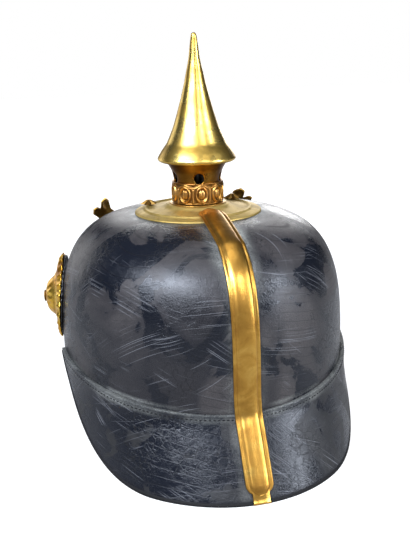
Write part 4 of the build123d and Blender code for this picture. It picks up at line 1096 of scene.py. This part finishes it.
full_outline = list(wing_outline) + [
    (0.11, 0.79), (0.098, 0.83), (0.06, 0.862), (0.0, 0.873), (-0.055, 0.862), (-0.095, 0.838),
    (-0.15, 0.825), (-0.19, 0.8), (-0.2, 0.768), (-0.168, 0.781), (-0.125, 0.788), (-0.11, 0.778)] + [
    (-x, z) for x, z in reversed(wing_outline[1:])]
eagle_step = 0.0125
eagle_cells = round(1.02 / eagle_step)
eagle_grid, eagle_points, eagle_faces = {}, [], []
filled = {(c, r) for c in range(-eagle_cells, eagle_cells + 1) for r in range(eagle_cells + 1)
          if inside_outline((c + 0.5) * eagle_step, (r + 0.5) * eagle_step, full_outline)}
outline_mm = [Vector((x * eagle_half_width, z * eagle_height, 0)) for x, z in full_outline]
for c, r in sorted(filled):
    corners = []
    for corner in ((c, r), (c + 1, r), (c + 1, r + 1), (c, r + 1)):
        if corner not in eagle_grid:
            x, z = corner[0] * eagle_step, corner[1] * eagle_step
            around = [(corner[0] + i, corner[1] + j) in filled for i in (-1, 0) for j in (-1, 0)]
            if not all(around):
                # A point on the border moves to the nearest place on the outline.
                here = Vector((x * eagle_half_width, z * eagle_height, 0))
                best = None
                for a, b in zip(outline_mm, outline_mm[1:] + outline_mm[:1]):
                    run = (b - a).length_squared
                    share = min(1.0, max(0.0, (here - a).dot(b - a) / run))
                    spot = a + (b - a) * share
                    if best is None or (spot - here).length < (best - here).length:
                        best = spot
                x, z = best.x / eagle_half_width, best.y / eagle_height
            eagle_grid[corner] = len(eagle_points)
            eagle_points.append((x, z))
        corners.append(eagle_grid[corner])
    eagle_faces.append(tuple(corners))
eagle_piece = put_mesh("spread_wing_plate", [
    on_skull(x * eagle_half_width, eagle_foot_z + z * eagle_height, eagle_relief(x, z) + eagle_sheet)
    for x, z in eagle_points], eagle_faces,
    marks={"hollow": [max(0.0, 1 - eagle_relief(x, z) / 0.7) * 0.8 for x, z in eagle_points]})
thicken(eagle_piece, eagle_sheet, -1.0)
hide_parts("front_plate")
struck_brass = brass("struck_plate_brass", "#e8bd62", "#c4953f", "#8a6426", tarnish="#4c3312",
                     tarnish_amount=0.35, rough=0.24)
eagle_piece.data.materials.append(struck_brass)
refinish("front_plate_posts", struck_brass)

# Side fittings: a black painted tin cockade against the leather, then the eye of the chin scales,
# then a pressed brass rosette with a raised boss, all held by one brass screw on each side.
side_post_y = -28.0
side_post_z = 82.5
side_turn = math.radians(10.0)
rosette_radius = 26.2
rosette_lobes = 24
cockade_radius = 25.4
cockade_stand = 0.8
cockade_thickness = 1.2
end_plate_thickness = 1.0
end_plate_play = 0.75
post_radius = 2.0
post_play = 0.15
post_corners = 48
end_plate_stand = cockade_stand + cockade_thickness + end_plate_play


def side_frame(hand, stand):
    """Turns (up, along, out) places of a side fitting into the helmet's frame."""
    share = wall_share(side_post_z)
    skull_x = skull_half_width * math.sqrt(share ** 2 - (side_post_y / skull_half_length) ** 2)
    outward = Vector((hand * math.cos(side_turn), -math.sin(side_turn), 0))
    across = Vector((0, 0, 1)).cross(outward)
    centre = Vector((hand * skull_x, side_post_y, side_post_z)) + outward * stand
    return centre, Vector((0, 0, 1)), across, outward


def skull_away(hand, up_by, across_by):
    """How far the skull lies behind a place of the fitting's plane, in millimetres."""
    centre, up, across, outward = side_frame(hand, 0)
    spot = centre + up * up_by + across * across_by
    near, far = -3.0, 14.0
    for _ in range(16):
        middle = (near + far) / 2
        point = spot - outward * middle
        reach = (point.x / skull_half_width) ** 2 + (point.y / skull_half_length) ** 2
        if reach > wall_share(point.z) ** 2:
            near = middle
        else:
            far = middle
    return near


def tab_share(hand, turn, radius):
    """1 where the chin scales' tab swings under the rosette, 0 elsewhere."""
    middle = -hand * math.radians(93.5)
    half = math.radians(17) + math.asin(min(1.0, 5.1 / radius))
    away = abs((turn - middle + math.pi) % (2 * math.pi) - math.pi)
    return min(1.0, max(0.0, 1 - (away - half) / math.radians(8)))


def cockade_at(hand, radius, turn):
    """Reach and height of the cockade: a disc with a fluted rim, pressed down to the leather."""
    flute = math.cos(turn * 48)
    share = radius / cockade_radius
    outer = max(0.0, (share - 0.3) / 0.7)
    pressed = 1.3 - skull_away(hand, radius * math.cos(turn), radius * math.sin(turn))
    height = 2.0 + (max(-1.6, min(2.0, pressed)) - 2.0) * outer ** 1.3
    return radius * (1 + 0.012 * flute * max(0.0, outer - 0.4)), height + 0.14 * flute * outer ** 3


def rosette_at(hand, radius, turn):
    """Reach and height of the rosette: petals at the rim, a bead, a dish and a boss."""
    petal = math.cos(turn * rosette_lobes)
    leaf = math.cos(turn * rosette_lobes / 2)
    share = radius / rosette_radius
    profile_r = (0.0, 0.13, 0.2, 0.3, 0.4, 0.47, 0.51, 0.56, 0.62, 0.7, 0.78, 0.84, 0.9, 0.96, 1.0)
    profile_h = (12.0, 11.8, 11.4, 10.4, 8.5, 6.5, 5.4, 4.7, 4.2, 3.8, 3.9, 4.1, 4.0, 3.4, 2.7)
    height = float(np.interp(share, profile_r, profile_h))
    under = cockade_at(hand, min(radius, cockade_radius), turn)[1] + 1.0
    height += min(0.0, under - 2.7) * max(0.0, (share - 0.55) / 0.45)
    height += 0.5 * petal * max(0.0, 1 - abs(share - 0.92) / 0.1)
    height += 0.4 * leaf * max(0.0, 1 - abs(share - 0.36) / 0.14)
    height += 0.25 * petal * max(0.0, 1 - abs(share - 0.68) / 0.14)
    height += 0.45 * bump_at(share, 0.79, 0.022) + 0.45 * bump_at(share, 0.535, 0.02)
    if share > 0.45:
        height = max(height, (5.25 + 0.3 * max(0.0, petal)) * tab_share(hand, turn, radius))
    reach = radius * (1 + 0.028 * petal * max(0.0, (share - 0.8) / 0.2))
    return reach, height


def disc_form(hand, rings, form_at, segments=288):
    """Points, faces and hollows of a round pressing; form_at gives the relief at each place."""
    centre, up, across, outward = side_frame(hand, 0)
    points, hollow = [], []
    for radius in rings:
        for step in range(segments):
            turn = 2 * math.pi * step / segments
            reach, height = form_at(hand, radius, turn)
            points.append(tuple(centre + up * (reach * math.cos(turn))
                                + across * (reach * math.sin(turn)) + outward * height))
            hollow.append(0.55 * bump_at(radius / rings[-1], 0.49, 0.035)
                          + 0.35 * bump_at(radius / rings[-1], 0.74, 0.03)
                          + 0.12 * max(0.0, -math.cos(turn * rosette_lobes)) * (radius > rings[-1] * 0.6))
    return points, grid_faces(len(rings), segments, True), hollow


def painted_tin(name):
    """Tinplate with thick black japan paint, chipped and dusty in specks of 4 mm."""
    material, tree, shader, place = new_material(name)
    chips = add(tree, "TexNoise", {"Vector": place, "Scale": per_metre(3.846), "Detail": 4.0,
                                   "Roughness": 0.6})
    shade = add(tree, "ValToRGB", {"Fac": chips}, stops=[
        (0.4, linear("#0b0a0c")), (0.62, linear("#1d1c1f")), (0.75, linear("#57534c"))])
    tree.links.new(shade.outputs[0], shader.inputs["Base Color"])
    dull = add(tree, "MapRange", {"Value": chips, "To Min": 0.22, "To Max": 0.6})
    tree.links.new(dull.outputs[0], shader.inputs["Roughness"])
    bump = add(tree, "Bump", {"Height": chips, "Strength": 0.2, "Distance": 0.2 * millimetre})
    tree.links.new(bump.outputs["Normal"], shader.inputs["Normal"])
    return material


japan = painted_tin("black_japanned_tin")
rosette_brass = brass("gilt_rosette_brass", "#f8d25c", "#e2aa3a", "#9c661e", tarnish="#5a360c",
                      tarnish_amount=0.25, rough=0.2)
post_brass = brass("turned_screw_brass", "#dcb565", "#b38b46", "#745322", rough=0.24)
bore_radius = post_radius + post_play
rosette_rings = [bore_radius + (rosette_radius - bore_radius) * i / 56 for i in range(57)]
cockade_rings = [bore_radius + (cockade_radius - bore_radius) * i / 30 for i in range(31)]
# Screw: a plain shank through the skull, and a low domed head with a slot over the boss.
screw_top = 13.2
screw_foot = -skull_wall - 4.4
screw_profile = [(0.05, screw_foot), (post_radius - 0.3, screw_foot), (post_radius, screw_foot + 0.3),
                 (post_radius, screw_top - 1.1), (3.7, screw_top - 1.1), (3.8, screw_top - 0.85)]
for step in range(13):
    rise = step / 12
    screw_profile.append((3.6 * math.cos(rise * math.pi / 2) + 0.05,
                          screw_top - 0.7 + 0.7 * math.sin(rise * math.pi / 2)))
for side_name, hand in (("left", 1), ("right", -1)):
    points, faces, hollow = disc_form(hand, rosette_rings, rosette_at)
    rosette_piece = put_mesh("rosette_pressing_" + side_name, points, faces,
                             marks={"hollow": hollow})
    thicken(rosette_piece, 0.7, -1.0)
    rosette_piece.data.materials.append(rosette_brass)
    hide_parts("rosette_" + side_name)
    points, faces, hollow = disc_form(hand, cockade_rings, cockade_at)
    cockade_piece = put_mesh("cockade_disc_" + side_name, points, faces)
    thicken(cockade_piece, 1.0, -1.0)
    cockade_piece.data.materials.append(japan)
    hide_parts("cockade_" + side_name)
    centre, up, across, outward = side_frame(hand, 0)
    screw_points = []
    for radius, height in screw_profile:
        for step in range(post_corners):
            turn = 2 * math.pi * step / post_corners
            place = up * (radius * math.cos(turn)) + across * (radius * math.sin(turn))
            slot = abs(radius * math.sin(turn)) < 0.5 and radius < 3.6 and height > screw_top - 0.9
            screw_points.append(tuple(centre + place + outward * (height - (0.5 if slot else 0))))
    screw_faces = grid_faces(len(screw_profile), post_corners, True)
    screw_piece = put_mesh("rosette_screw_" + side_name, screw_points, screw_faces)
    screw_piece.data.materials.append(post_brass)
    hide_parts("side_post_" + side_name)
    refinish("scale_end_" + side_name, post_brass)

# Chin scales: two rows of pressed brass scales, laid up over the visor. Each is arched across, has
# a raised lip along its rounded front edge, and lies over the tail of the next one forward.
strap_front_z = 58.0
strap_front_y = -101.5
chin_centre = 20.0
strap_leather = 1.2
strap_width = 12.0
scale_sheet = 0.9
scale_count = 12
scale_first_turn = 56.0
scale_last_turn = 11.1
scale_pitch = 7.2
scale_lean = math.radians(11.5)
scale_stand = 1.2
scale_end_width = 21.0
scale_front_width = 14.5
scale_rows, scale_columns = 13, 25
end_tab_length = 29.0
chin_slope = math.atan2(side_post_z - strap_front_z, side_post_y - strap_front_y)
chin_half_length = chin_centre + (side_post_y - strap_front_y) / math.cos(chin_slope)
tab_out = side_frame(1, end_plate_stand + end_plate_thickness / 2)[0].x - end_tab_length * math.sin(side_turn)
tab_along = end_tab_length * math.cos(side_turn)
chin_half_width = tab_out / math.sqrt(1 - ((chin_centre + tab_along) / chin_half_length) ** 2)
chin_up = Vector((0, -math.sin(chin_slope), math.cos(chin_slope)))


def chin_place(turn, out, up=0.0, hand=1):
    """Point on the chin strap's sloping oval; turn is in degrees from the front."""
    x = (chin_half_width + out) * math.sin(math.radians(turn))
    y = chin_centre - (chin_half_length + out) * math.cos(math.radians(turn))
    return Vector((hand * x, side_post_y + y * math.cos(chin_slope), side_post_z + y * math.sin(chin_slope))
                  ) + chin_up * up


scale_brass = brass("pressed_scale_brass", "#dcae4c", "#b07e2c", "#70481a", tarnish="#3c2408",
                    tarnish_amount=0.35, rough=0.22)
for side_name, hand in (("left", 1), ("right", -1)):
    scale_points, scale_faces = [], []
    for number in range(scale_count):
        step = number / (scale_count - 1)
        turn = scale_last_turn + (scale_first_turn - scale_last_turn) * step
        here = chin_place(turn, scale_stand, 0, hand)
        along = (chin_place(turn - 1, scale_stand, 0, hand) - here).normalized()
        out = along.cross(chin_up) * -hand
        forward = along * math.cos(scale_lean) + out * math.sin(scale_lean)
        outward = out * math.cos(scale_lean) - along * math.sin(scale_lean)
        half = (scale_front_width + (scale_end_width - scale_front_width) * step) / 2
        start = len(scale_points)
        for row in range(scale_rows):
            share = row / (scale_rows - 1)
            for column in range(scale_columns):
                side = -1 + 2 * column / (scale_columns - 1)
                front = scale_pitch * 0.7 * (1 - side ** 2)
                run = -scale_pitch * 0.7 + share * (scale_pitch * 0.7 + front)
                height = scale_sheet + 0.9 * (1 - abs(side) ** 2.5) - 0.5
                height += 0.4 * bump_at(share, 0.93, 0.07) + 0.25 * bump_at(abs(side), 0.93, 0.06)
                wide = half * (0.96 + 0.04 * share)
                scale_points.append(tuple(here + forward * run + chin_up * (side * wide)
                                          + outward * height))
        made = grid_faces(scale_rows, scale_columns, start=start)
        scale_faces += made if hand < 0 else [tuple(reversed(face)) for face in made]
    scales_piece = put_mesh("chin_scale_row_" + side_name, scale_points, scale_faces, "chinstrap")
    thicken(scales_piece, scale_sheet * 0.8, -1.0)
    scales_piece.data.materials.append(scale_brass)
    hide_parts("chin_scales_" + side_name)

# Chin strap: a strip of waxed harness leather behind the scales, with burnished round edges and two
# rows of stitches; its ends are sewn to the brass eyes.
strap_limit = math.degrees(math.acos((chin_centre + end_tab_length + 0.5) / chin_half_length))
strap_section, strap_corners = [], 24
for step in range(strap_corners):
    turn = 2 * math.pi * step / strap_corners
    wide, thick = strap_width / 2, strap_leather / 2
    up = wide * math.copysign(abs(math.cos(turn)) ** 0.35, math.cos(turn))
    out = thick * math.copysign(abs(math.sin(turn)) ** 0.6, math.sin(turn))
    strap_section.append((up, out - thick))
strap_points, strap_stations = [], 140
for number in range(strap_stations):
    turn = -strap_limit + 2 * strap_limit * number / (strap_stations - 1)
    sag = noise.noise((turn * 0.11, 3.0, 1.0)) * 0.25
    for up, out in strap_section:
        strap_points.append(tuple(chin_place(turn, out - 0.1 + sag * up / 6 * 0.5, up)))
strap_faces = rod_faces(strap_stations, strap_corners)
strap_piece = put_mesh("chin_strap_leather", strap_points, strap_faces, "chinstrap")


def soft_leather(name, dark, pale, stain, pebble_size=1.4286, rough=0.6):
    """Soft tanned leather: uneven dye, pebbled grain, darker where sweat or wax soaked in.

    The pebbles are drawn about twice as large as real ones, so that they show.
    """
    material, tree, shader, place = new_material(name)
    dye = add(tree, "TexNoise", {"Vector": place, "Scale": per_metre(22.22), "Detail": 5.0,
                                 "Roughness": 0.6})
    soak = add(tree, "TexNoise", {"Vector": place, "Scale": per_metre(45.45), "Detail": 3.0,
                                  "Distortion": 0.8})
    pebble = add(tree, "TexVoronoi", {"Vector": place, "Scale": per_metre(pebble_size)})
    shade = add(tree, "ValToRGB", {"Fac": dye}, stops=[(0.32, linear(dark)), (0.66, linear(pale))])
    soaked = add(tree, "ValToRGB", {"Fac": soak}, stops=[(0.5, 0.0), (0.64, 0.7)])
    shade = add(tree, "MixRGB", {"Fac": soaked, "Color1": shade, "Color2": linear(stain)})
    tree.links.new(shade.outputs[0], shader.inputs["Base Color"])
    gloss = add(tree, "MapRange", {"Value": soaked, "To Min": rough, "To Max": rough - 0.18})
    tree.links.new(gloss.outputs[0], shader.inputs["Roughness"])
    crease = add(tree, "Bump", {"Height": dye, "Strength": 0.35, "Distance": 1.2 * millimetre})
    bump = add(tree, "Bump", {"Height": pebble, "Strength": 0.35, "Distance": 0.3 * millimetre,
                              "Normal": crease})
    tree.links.new(bump.outputs["Normal"], shader.inputs["Normal"])
    return material


long_stitch = ((-0.5, 0.3), (-0.36, 0.9), (0.36, 0.9), (0.5, 0.3))


def sewn_line(name, line, outs, pitch, length, radius, body):
    """A row of long stitches along a line of points; outs gives each point's outward way."""
    stitches = []
    for number in pricked(line, pitch):
        along = (line[number] - line[number - 1]).normalized()
        out = outs[number]
        stitches.append((line[number], along, along.cross(out).normalized(), out))
    return sew(name, stitches, length, radius, long_stitch, body)


strap_piece.data.materials.append(
    soft_leather("waxed_strap_leather", "#17120e", "#2b2019", "#0c0a08", pebble_size=0.7692, rough=0.5))
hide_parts("chin_strap")
for up in (-4.7, 4.7):
    for name, out in (("front", 0.03), ("back", -strap_leather - 0.02)):
        turns = [-strap_limit + 1 + (2 * strap_limit - 2) * i / 900 for i in range(901)]
        line = [chin_place(turn, out - 0.1, up) for turn in turns]
        outs = [Vector((p.x, (p.y - side_post_y) * 0.9, 0)).normalized() for p in line]
        stitched = sewn_line("strap_stitches_%s_%d" % (name, round(up)), line, outs, 3.4, 2.3, 0.24,
                             "chinstrap")
        stitched.data.materials.append(black_thread)
refinish("chin_buckle", post_brass)

# Sweatband: a strip of soft leather inside the foot of the skull, sewn along both edges. Wear has made
# its top edge wavy.
band_thickness = 1.4
band_gap = 0.5
band_height = 34.0
band_grow = -skull_wall - band_gap
band_top_z = seam_side_height + band_height / 2
band_columns, band_rows = 288, 18
band_points = []
for row in range(band_rows):
    share = row / (band_rows - 1)
    for column in range(band_columns):
        around = 2 * math.pi * column / band_columns
        low = seam_height(skull_half_length * math.sin(around)) - skull_tuck
        top = band_top_z - 0.5 + 0.5 * math.sin(around * 36)
        z = low + (top - low) * share
        fold = noise.noise((math.cos(around) * 5, math.sin(around) * 5, share * 2.2))
        pucker = 0.12 * math.sin(around * 96) * bump_at(share, 0.93, 0.06)
        point = dome_at(around, z, band_grow - 0.05 - 0.3 * abs(fold) - abs(pucker))
        band_points.append(tuple(point))
band_piece = put_mesh("sweatband_leather", band_points, grid_faces(band_rows, band_columns, True))
thicken(band_piece, band_thickness * 0.85, -1.0, 0.4)
band_piece.data.materials.append(
    soft_leather("soft_sweatband_leather", "#5d3c22", "#8a6340", "#3a2414"))
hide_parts("sweatband")
tan_thread = waxed("natural_linen_thread", "#8a7550", "#c9b68c")
for name, share in (("lower", 0.06), ("upper", 0.93)):
    line, outs = [], []
    for step in range(2401):
        around = 2 * math.pi * step / 2400
        low = seam_height(skull_half_length * math.sin(around)) - skull_tuck
        z = low + (band_top_z - 0.5 - low) * share
        line.append(dome_at(around, z, band_grow - 0.1 - band_thickness * 0.95))
        outs.append(Vector((-math.cos(around), -math.sin(around), 0)))
    stitched = sewn_line("sweatband_stitches_" + name, line, outs, 4.0, 2.6, 0.28, "shell")
    stitched.data.materials.append(tan_thread)

# Lining fingers: eleven tongues of thin leather, sewn to the band's top, that lean in over the head.
# Their tips are rounded, with a punched hole each for the cord that once drew them together.
finger_gap = 5.0
fitting_gap = 11.6
plain_gap_turns = (43.0, 107.0, 144.0)
finger_grow = band_grow - band_thickness - leather_fit
finger_top_z = 122.0
finger_top_share = 0.36
finger_tip_angle = math.radians(24)
finger_rows, finger_columns = 30, 21
finger_foot_z = band_top_z - band_height * 0.15
finger_split_z = band_top_z + band_height * 0.1
post_x = eagle_half_width * 0.42
post_y = -(skull_half_length - 6.9) * math.sqrt(1 - (post_x / skull_half_width) ** 2) * 0.97
nut_centre = side_frame(1, -skull_wall - 2.2)[0]
front_gap = math.degrees(math.atan2(post_x, -post_y))
side_gap = math.degrees(math.atan2(nut_centre.x, -nut_centre.y))
gaps = [(180.0, fitting_gap)]
for turn, gap in [(front_gap, fitting_gap), (side_gap, fitting_gap)] + [
        (turn, finger_gap) for turn in plain_gap_turns]:
    gaps += [(turn, gap), (360 - turn, gap)]
gaps.sort()
finger_points, finger_faces, finger_tips = [], [], []
next_gaps = gaps[1:] + [(gaps[0][0] + 360, gaps[0][1])]
for (start_turn, start_gap), (end_turn, end_gap) in zip(gaps, next_gaps):
    base = len(finger_points)
    for row in range(finger_rows):
        for column in range(finger_columns):
            part = column / (finger_columns - 1)
            round_off = 0.16 * (1 - math.sqrt(max(0.0, 1 - (2 * part - 1) ** 2)))
            down = (1 - row / (finger_rows - 1)) * (1 - round_off) + round_off if row else 1.0
            # down runs from 1 at the foot to 0 at the tip, measured along the leather.
            angle = math.pi / 2 - (math.pi / 2 - finger_tip_angle) * (1 - down)
            share = wall_share(finger_foot_z, finger_grow, finger_top_z)
            plan = share * (1 - (1 - finger_top_share / share)
                            * (1 - math.sin(angle)) / (1 - math.sin(finger_tip_angle)))
            rise = max(0.0, 1 - plan ** side_power) ** (1 / crown_power)
            z = skull_wall_foot + (finger_top_z - skull_wall_foot) * rise
            if plan > share - 1e-6:
                z = finger_foot_z
            radius = plan * skull_half_width
            open_more = min(1.0, max(0.0, (z - finger_split_z + 3.0) / 3.0))
            first = start_turn + math.degrees(math.asin(min(0.9, start_gap / 2 / radius))) * open_more
            last = end_turn - math.degrees(math.asin(min(0.9, end_gap / 2 / radius))) * open_more
            turn = math.radians(first + (last - first) * part)
            x_way, y_way = math.sin(turn), -math.cos(turn)
            half_width, half_length = skull_half_width + finger_grow, skull_half_length + finger_grow
            reach = plan / math.hypot(x_way / half_width, y_way / half_length)
            soft = abs(noise.noise((turn * 2.5, z * 0.05, 4.0))) * 0.6 * open_more
            edge_curl = 0.35 * bump_at(abs(2 * part - 1), 1.0, 0.16) * open_more
            finger_points.append((x_way * (reach - soft), y_way * (reach - soft), z - soft - edge_curl))
            if row == finger_rows - 4 and column == finger_columns // 2:
                finger_tips.append(len(finger_points) - 1)
    finger_faces += grid_faces(finger_rows, finger_columns, start=base)
finger_holes = set(finger_tips)
finger_faces = [face for face in finger_faces if not finger_holes.intersection(face)]
finger_piece = put_mesh("lining_finger_leather", finger_points, finger_faces)
thicken(finger_piece, band_thickness * 0.8, -1.0, 0.3)
finger_piece.data.materials.append(
    soft_leather("thin_lining_leather", "#6b4829", "#97704a", "#4b3019"))
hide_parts("lining_fingers")

# Floor, backdrop, lights and camera: a white sweep under wide soft boxes, seen from behind the
# helmet's left side, a little above it.


def sweep_white(name):
    """Matt white paper: white to the lens but for the contact shadow, dimmer in reflections."""
    material = bpy.data.materials.new(name)
    material.use_nodes = True
    tree = material.node_tree
    tree.nodes.clear()
    paper = add(tree, "BsdfDiffuse", {"Color": linear("#8c8c8c"), "Roughness": 0.5})
    look = add(tree, "LightPath").outputs["Is Camera Ray"]
    away = add(tree, "TexCoord").outputs["Object"]
    away = add(tree, "VectorMath", {0: away}, operation="LENGTH").outputs["Value"]
    glow = add(tree, "MapRange", {"Value": away, "From Min": 0.12, "From Max": 0.5, "To Min": 0.88,
                                  "To Max": 1.0})
    glow = add(tree, "MapRange", {"Value": look, "To Min": 0.22, "To Max": glow})
    shine = add(tree, "Emission", {"Color": (1, 1, 1, 1), "Strength": glow})
    both = add(tree, "AddShader", {0: paper, 1: shine})
    add(tree, "OutputMaterial", {"Surface": both})
    return material


floor_points = [(-3000, -3000, -0.05), (3000, -3000, -0.05), (3000, 3000, -0.05), (-3000, 3000, -0.05)]
floor_mesh = bpy.data.meshes.new("floor")
floor_mesh.from_pydata([tuple(c * millimetre for c in p) for p in floor_points], [], [(0, 1, 2, 3)])
floor = bpy.data.objects.new("floor", floor_mesh)
bpy.context.scene.collection.objects.link(floor)
floor.data.materials.append(sweep_white("matt_white_paper"))

world = bpy.data.worlds.new("studio")
bpy.context.scene.world = world
world.use_nodes = True
tree = world.node_tree
tree.nodes.clear()
look = add(tree, "LightPath")
direct = add(tree, "TexCoord").outputs["Generated"]
height = add(tree, "SeparateXYZ", {0: direct})
level = add(tree, "MapRange", {"Value": height.outputs["Z"], "From Min": -0.2, "From Max": 0.9})
room = add(tree, "ValToRGB", {"Fac": level}, stops=[
    (0.0, linear("#b9b6b0")), (0.3, linear("#3c3d40")), (0.62, linear("#6e7278")),
    (1.0, linear("#84888f"))])
soft = add(tree, "Background", {"Color": room, "Strength": 0.44})
white = add(tree, "Background", {"Color": (1, 1, 1, 1), "Strength": 1.0})
seen = add(tree, "MixShader", {0: look.outputs["Is Camera Ray"], 1: soft, 2: white})
add(tree, "OutputWorld", {"Surface": seen})


def soft_box(name, spot, aim, width, height, power, colour="#ffffff"):
    """A rectangular diffuser lit from behind; place and size in millimetres."""
    light = bpy.data.lights.new(name, "AREA")
    light.shape = "RECTANGLE"
    light.size, light.size_y = width * millimetre, height * millimetre
    light.energy = power
    light.color = linear(colour)[:3]
    lamp = bpy.data.objects.new(name, light)
    bpy.context.scene.collection.objects.link(lamp)
    lamp.location = [c * millimetre for c in spot]
    toward = (Vector(aim) - Vector(spot)).normalized()
    lamp.rotation_mode = "QUATERNION"
    lamp.rotation_quaternion = toward.to_track_quat("-Z", "Y")


soft_box("window_box", (660, 590, 820), (0, 60, 110), 860, 470, 30.0, "#e6efff")
soft_box("door_box", (-230, 880, 760), (0, 60, 110), 150, 320, 4.2, "#f2f6ff")
soft_box("wall_box", (-130, 960, 240), (0, 100, 40), 900, 330, 0.25)
soft_box("side_box", (-760, 600, 420), (0, 0, 90), 300, 600, 9.0, "#e9f1ff")
soft_box("top_box", (0, 100, 1100), (0, 0, 100), 600, 500, 2.2)
soft_box("front_box", (-330, -930, 330), (0, 0, 100), 700, 360, 3.5)
soft_box("left_front_box", (560, -850, 260), (90, -28, 82), 520, 460, 1.1)

# Camera: a normal lens, half a metre behind the helmet and a little above it. The lens, place and
# lean were found by fitting the helmet's outline in the photograph.
camera_place = Vector((131.55, 503.09, 242.74)) * millimetre
camera_turn = math.radians(15.022)
camera_pitch = math.radians(15.789)
camera_roll = math.radians(-1.378)
forward = Vector((-math.sin(camera_turn) * math.cos(camera_pitch),
                  -math.cos(camera_turn) * math.cos(camera_pitch), -math.sin(camera_pitch)))
level_right = forward.cross(Vector((0, 0, 1))).normalized()
level_up = level_right.cross(forward)
right = math.cos(camera_roll) * level_right + math.sin(camera_roll) * level_up
up = -math.sin(camera_roll) * level_right + math.cos(camera_roll) * level_up
lens = bpy.data.cameras.new("camera")
lens.sensor_fit = "AUTO"
lens.sensor_width = 24.0
lens.lens = 37.58
lens.clip_start, lens.clip_end = 0.01, 20.0
camera = bpy.data.objects.new("camera", lens)
bpy.context.scene.collection.objects.link(camera)
camera.matrix_world = Matrix((
    (right.x, up.x, -forward.x, camera_place.x),
    (right.y, up.y, -forward.y, camera_place.y),
    (right.z, up.z, -forward.z, camera_place.z),
    (0, 0, 0, 1)))
bpy.context.scene.camera = camera
bpy.context.scene.view_settings.view_transform = "Standard"
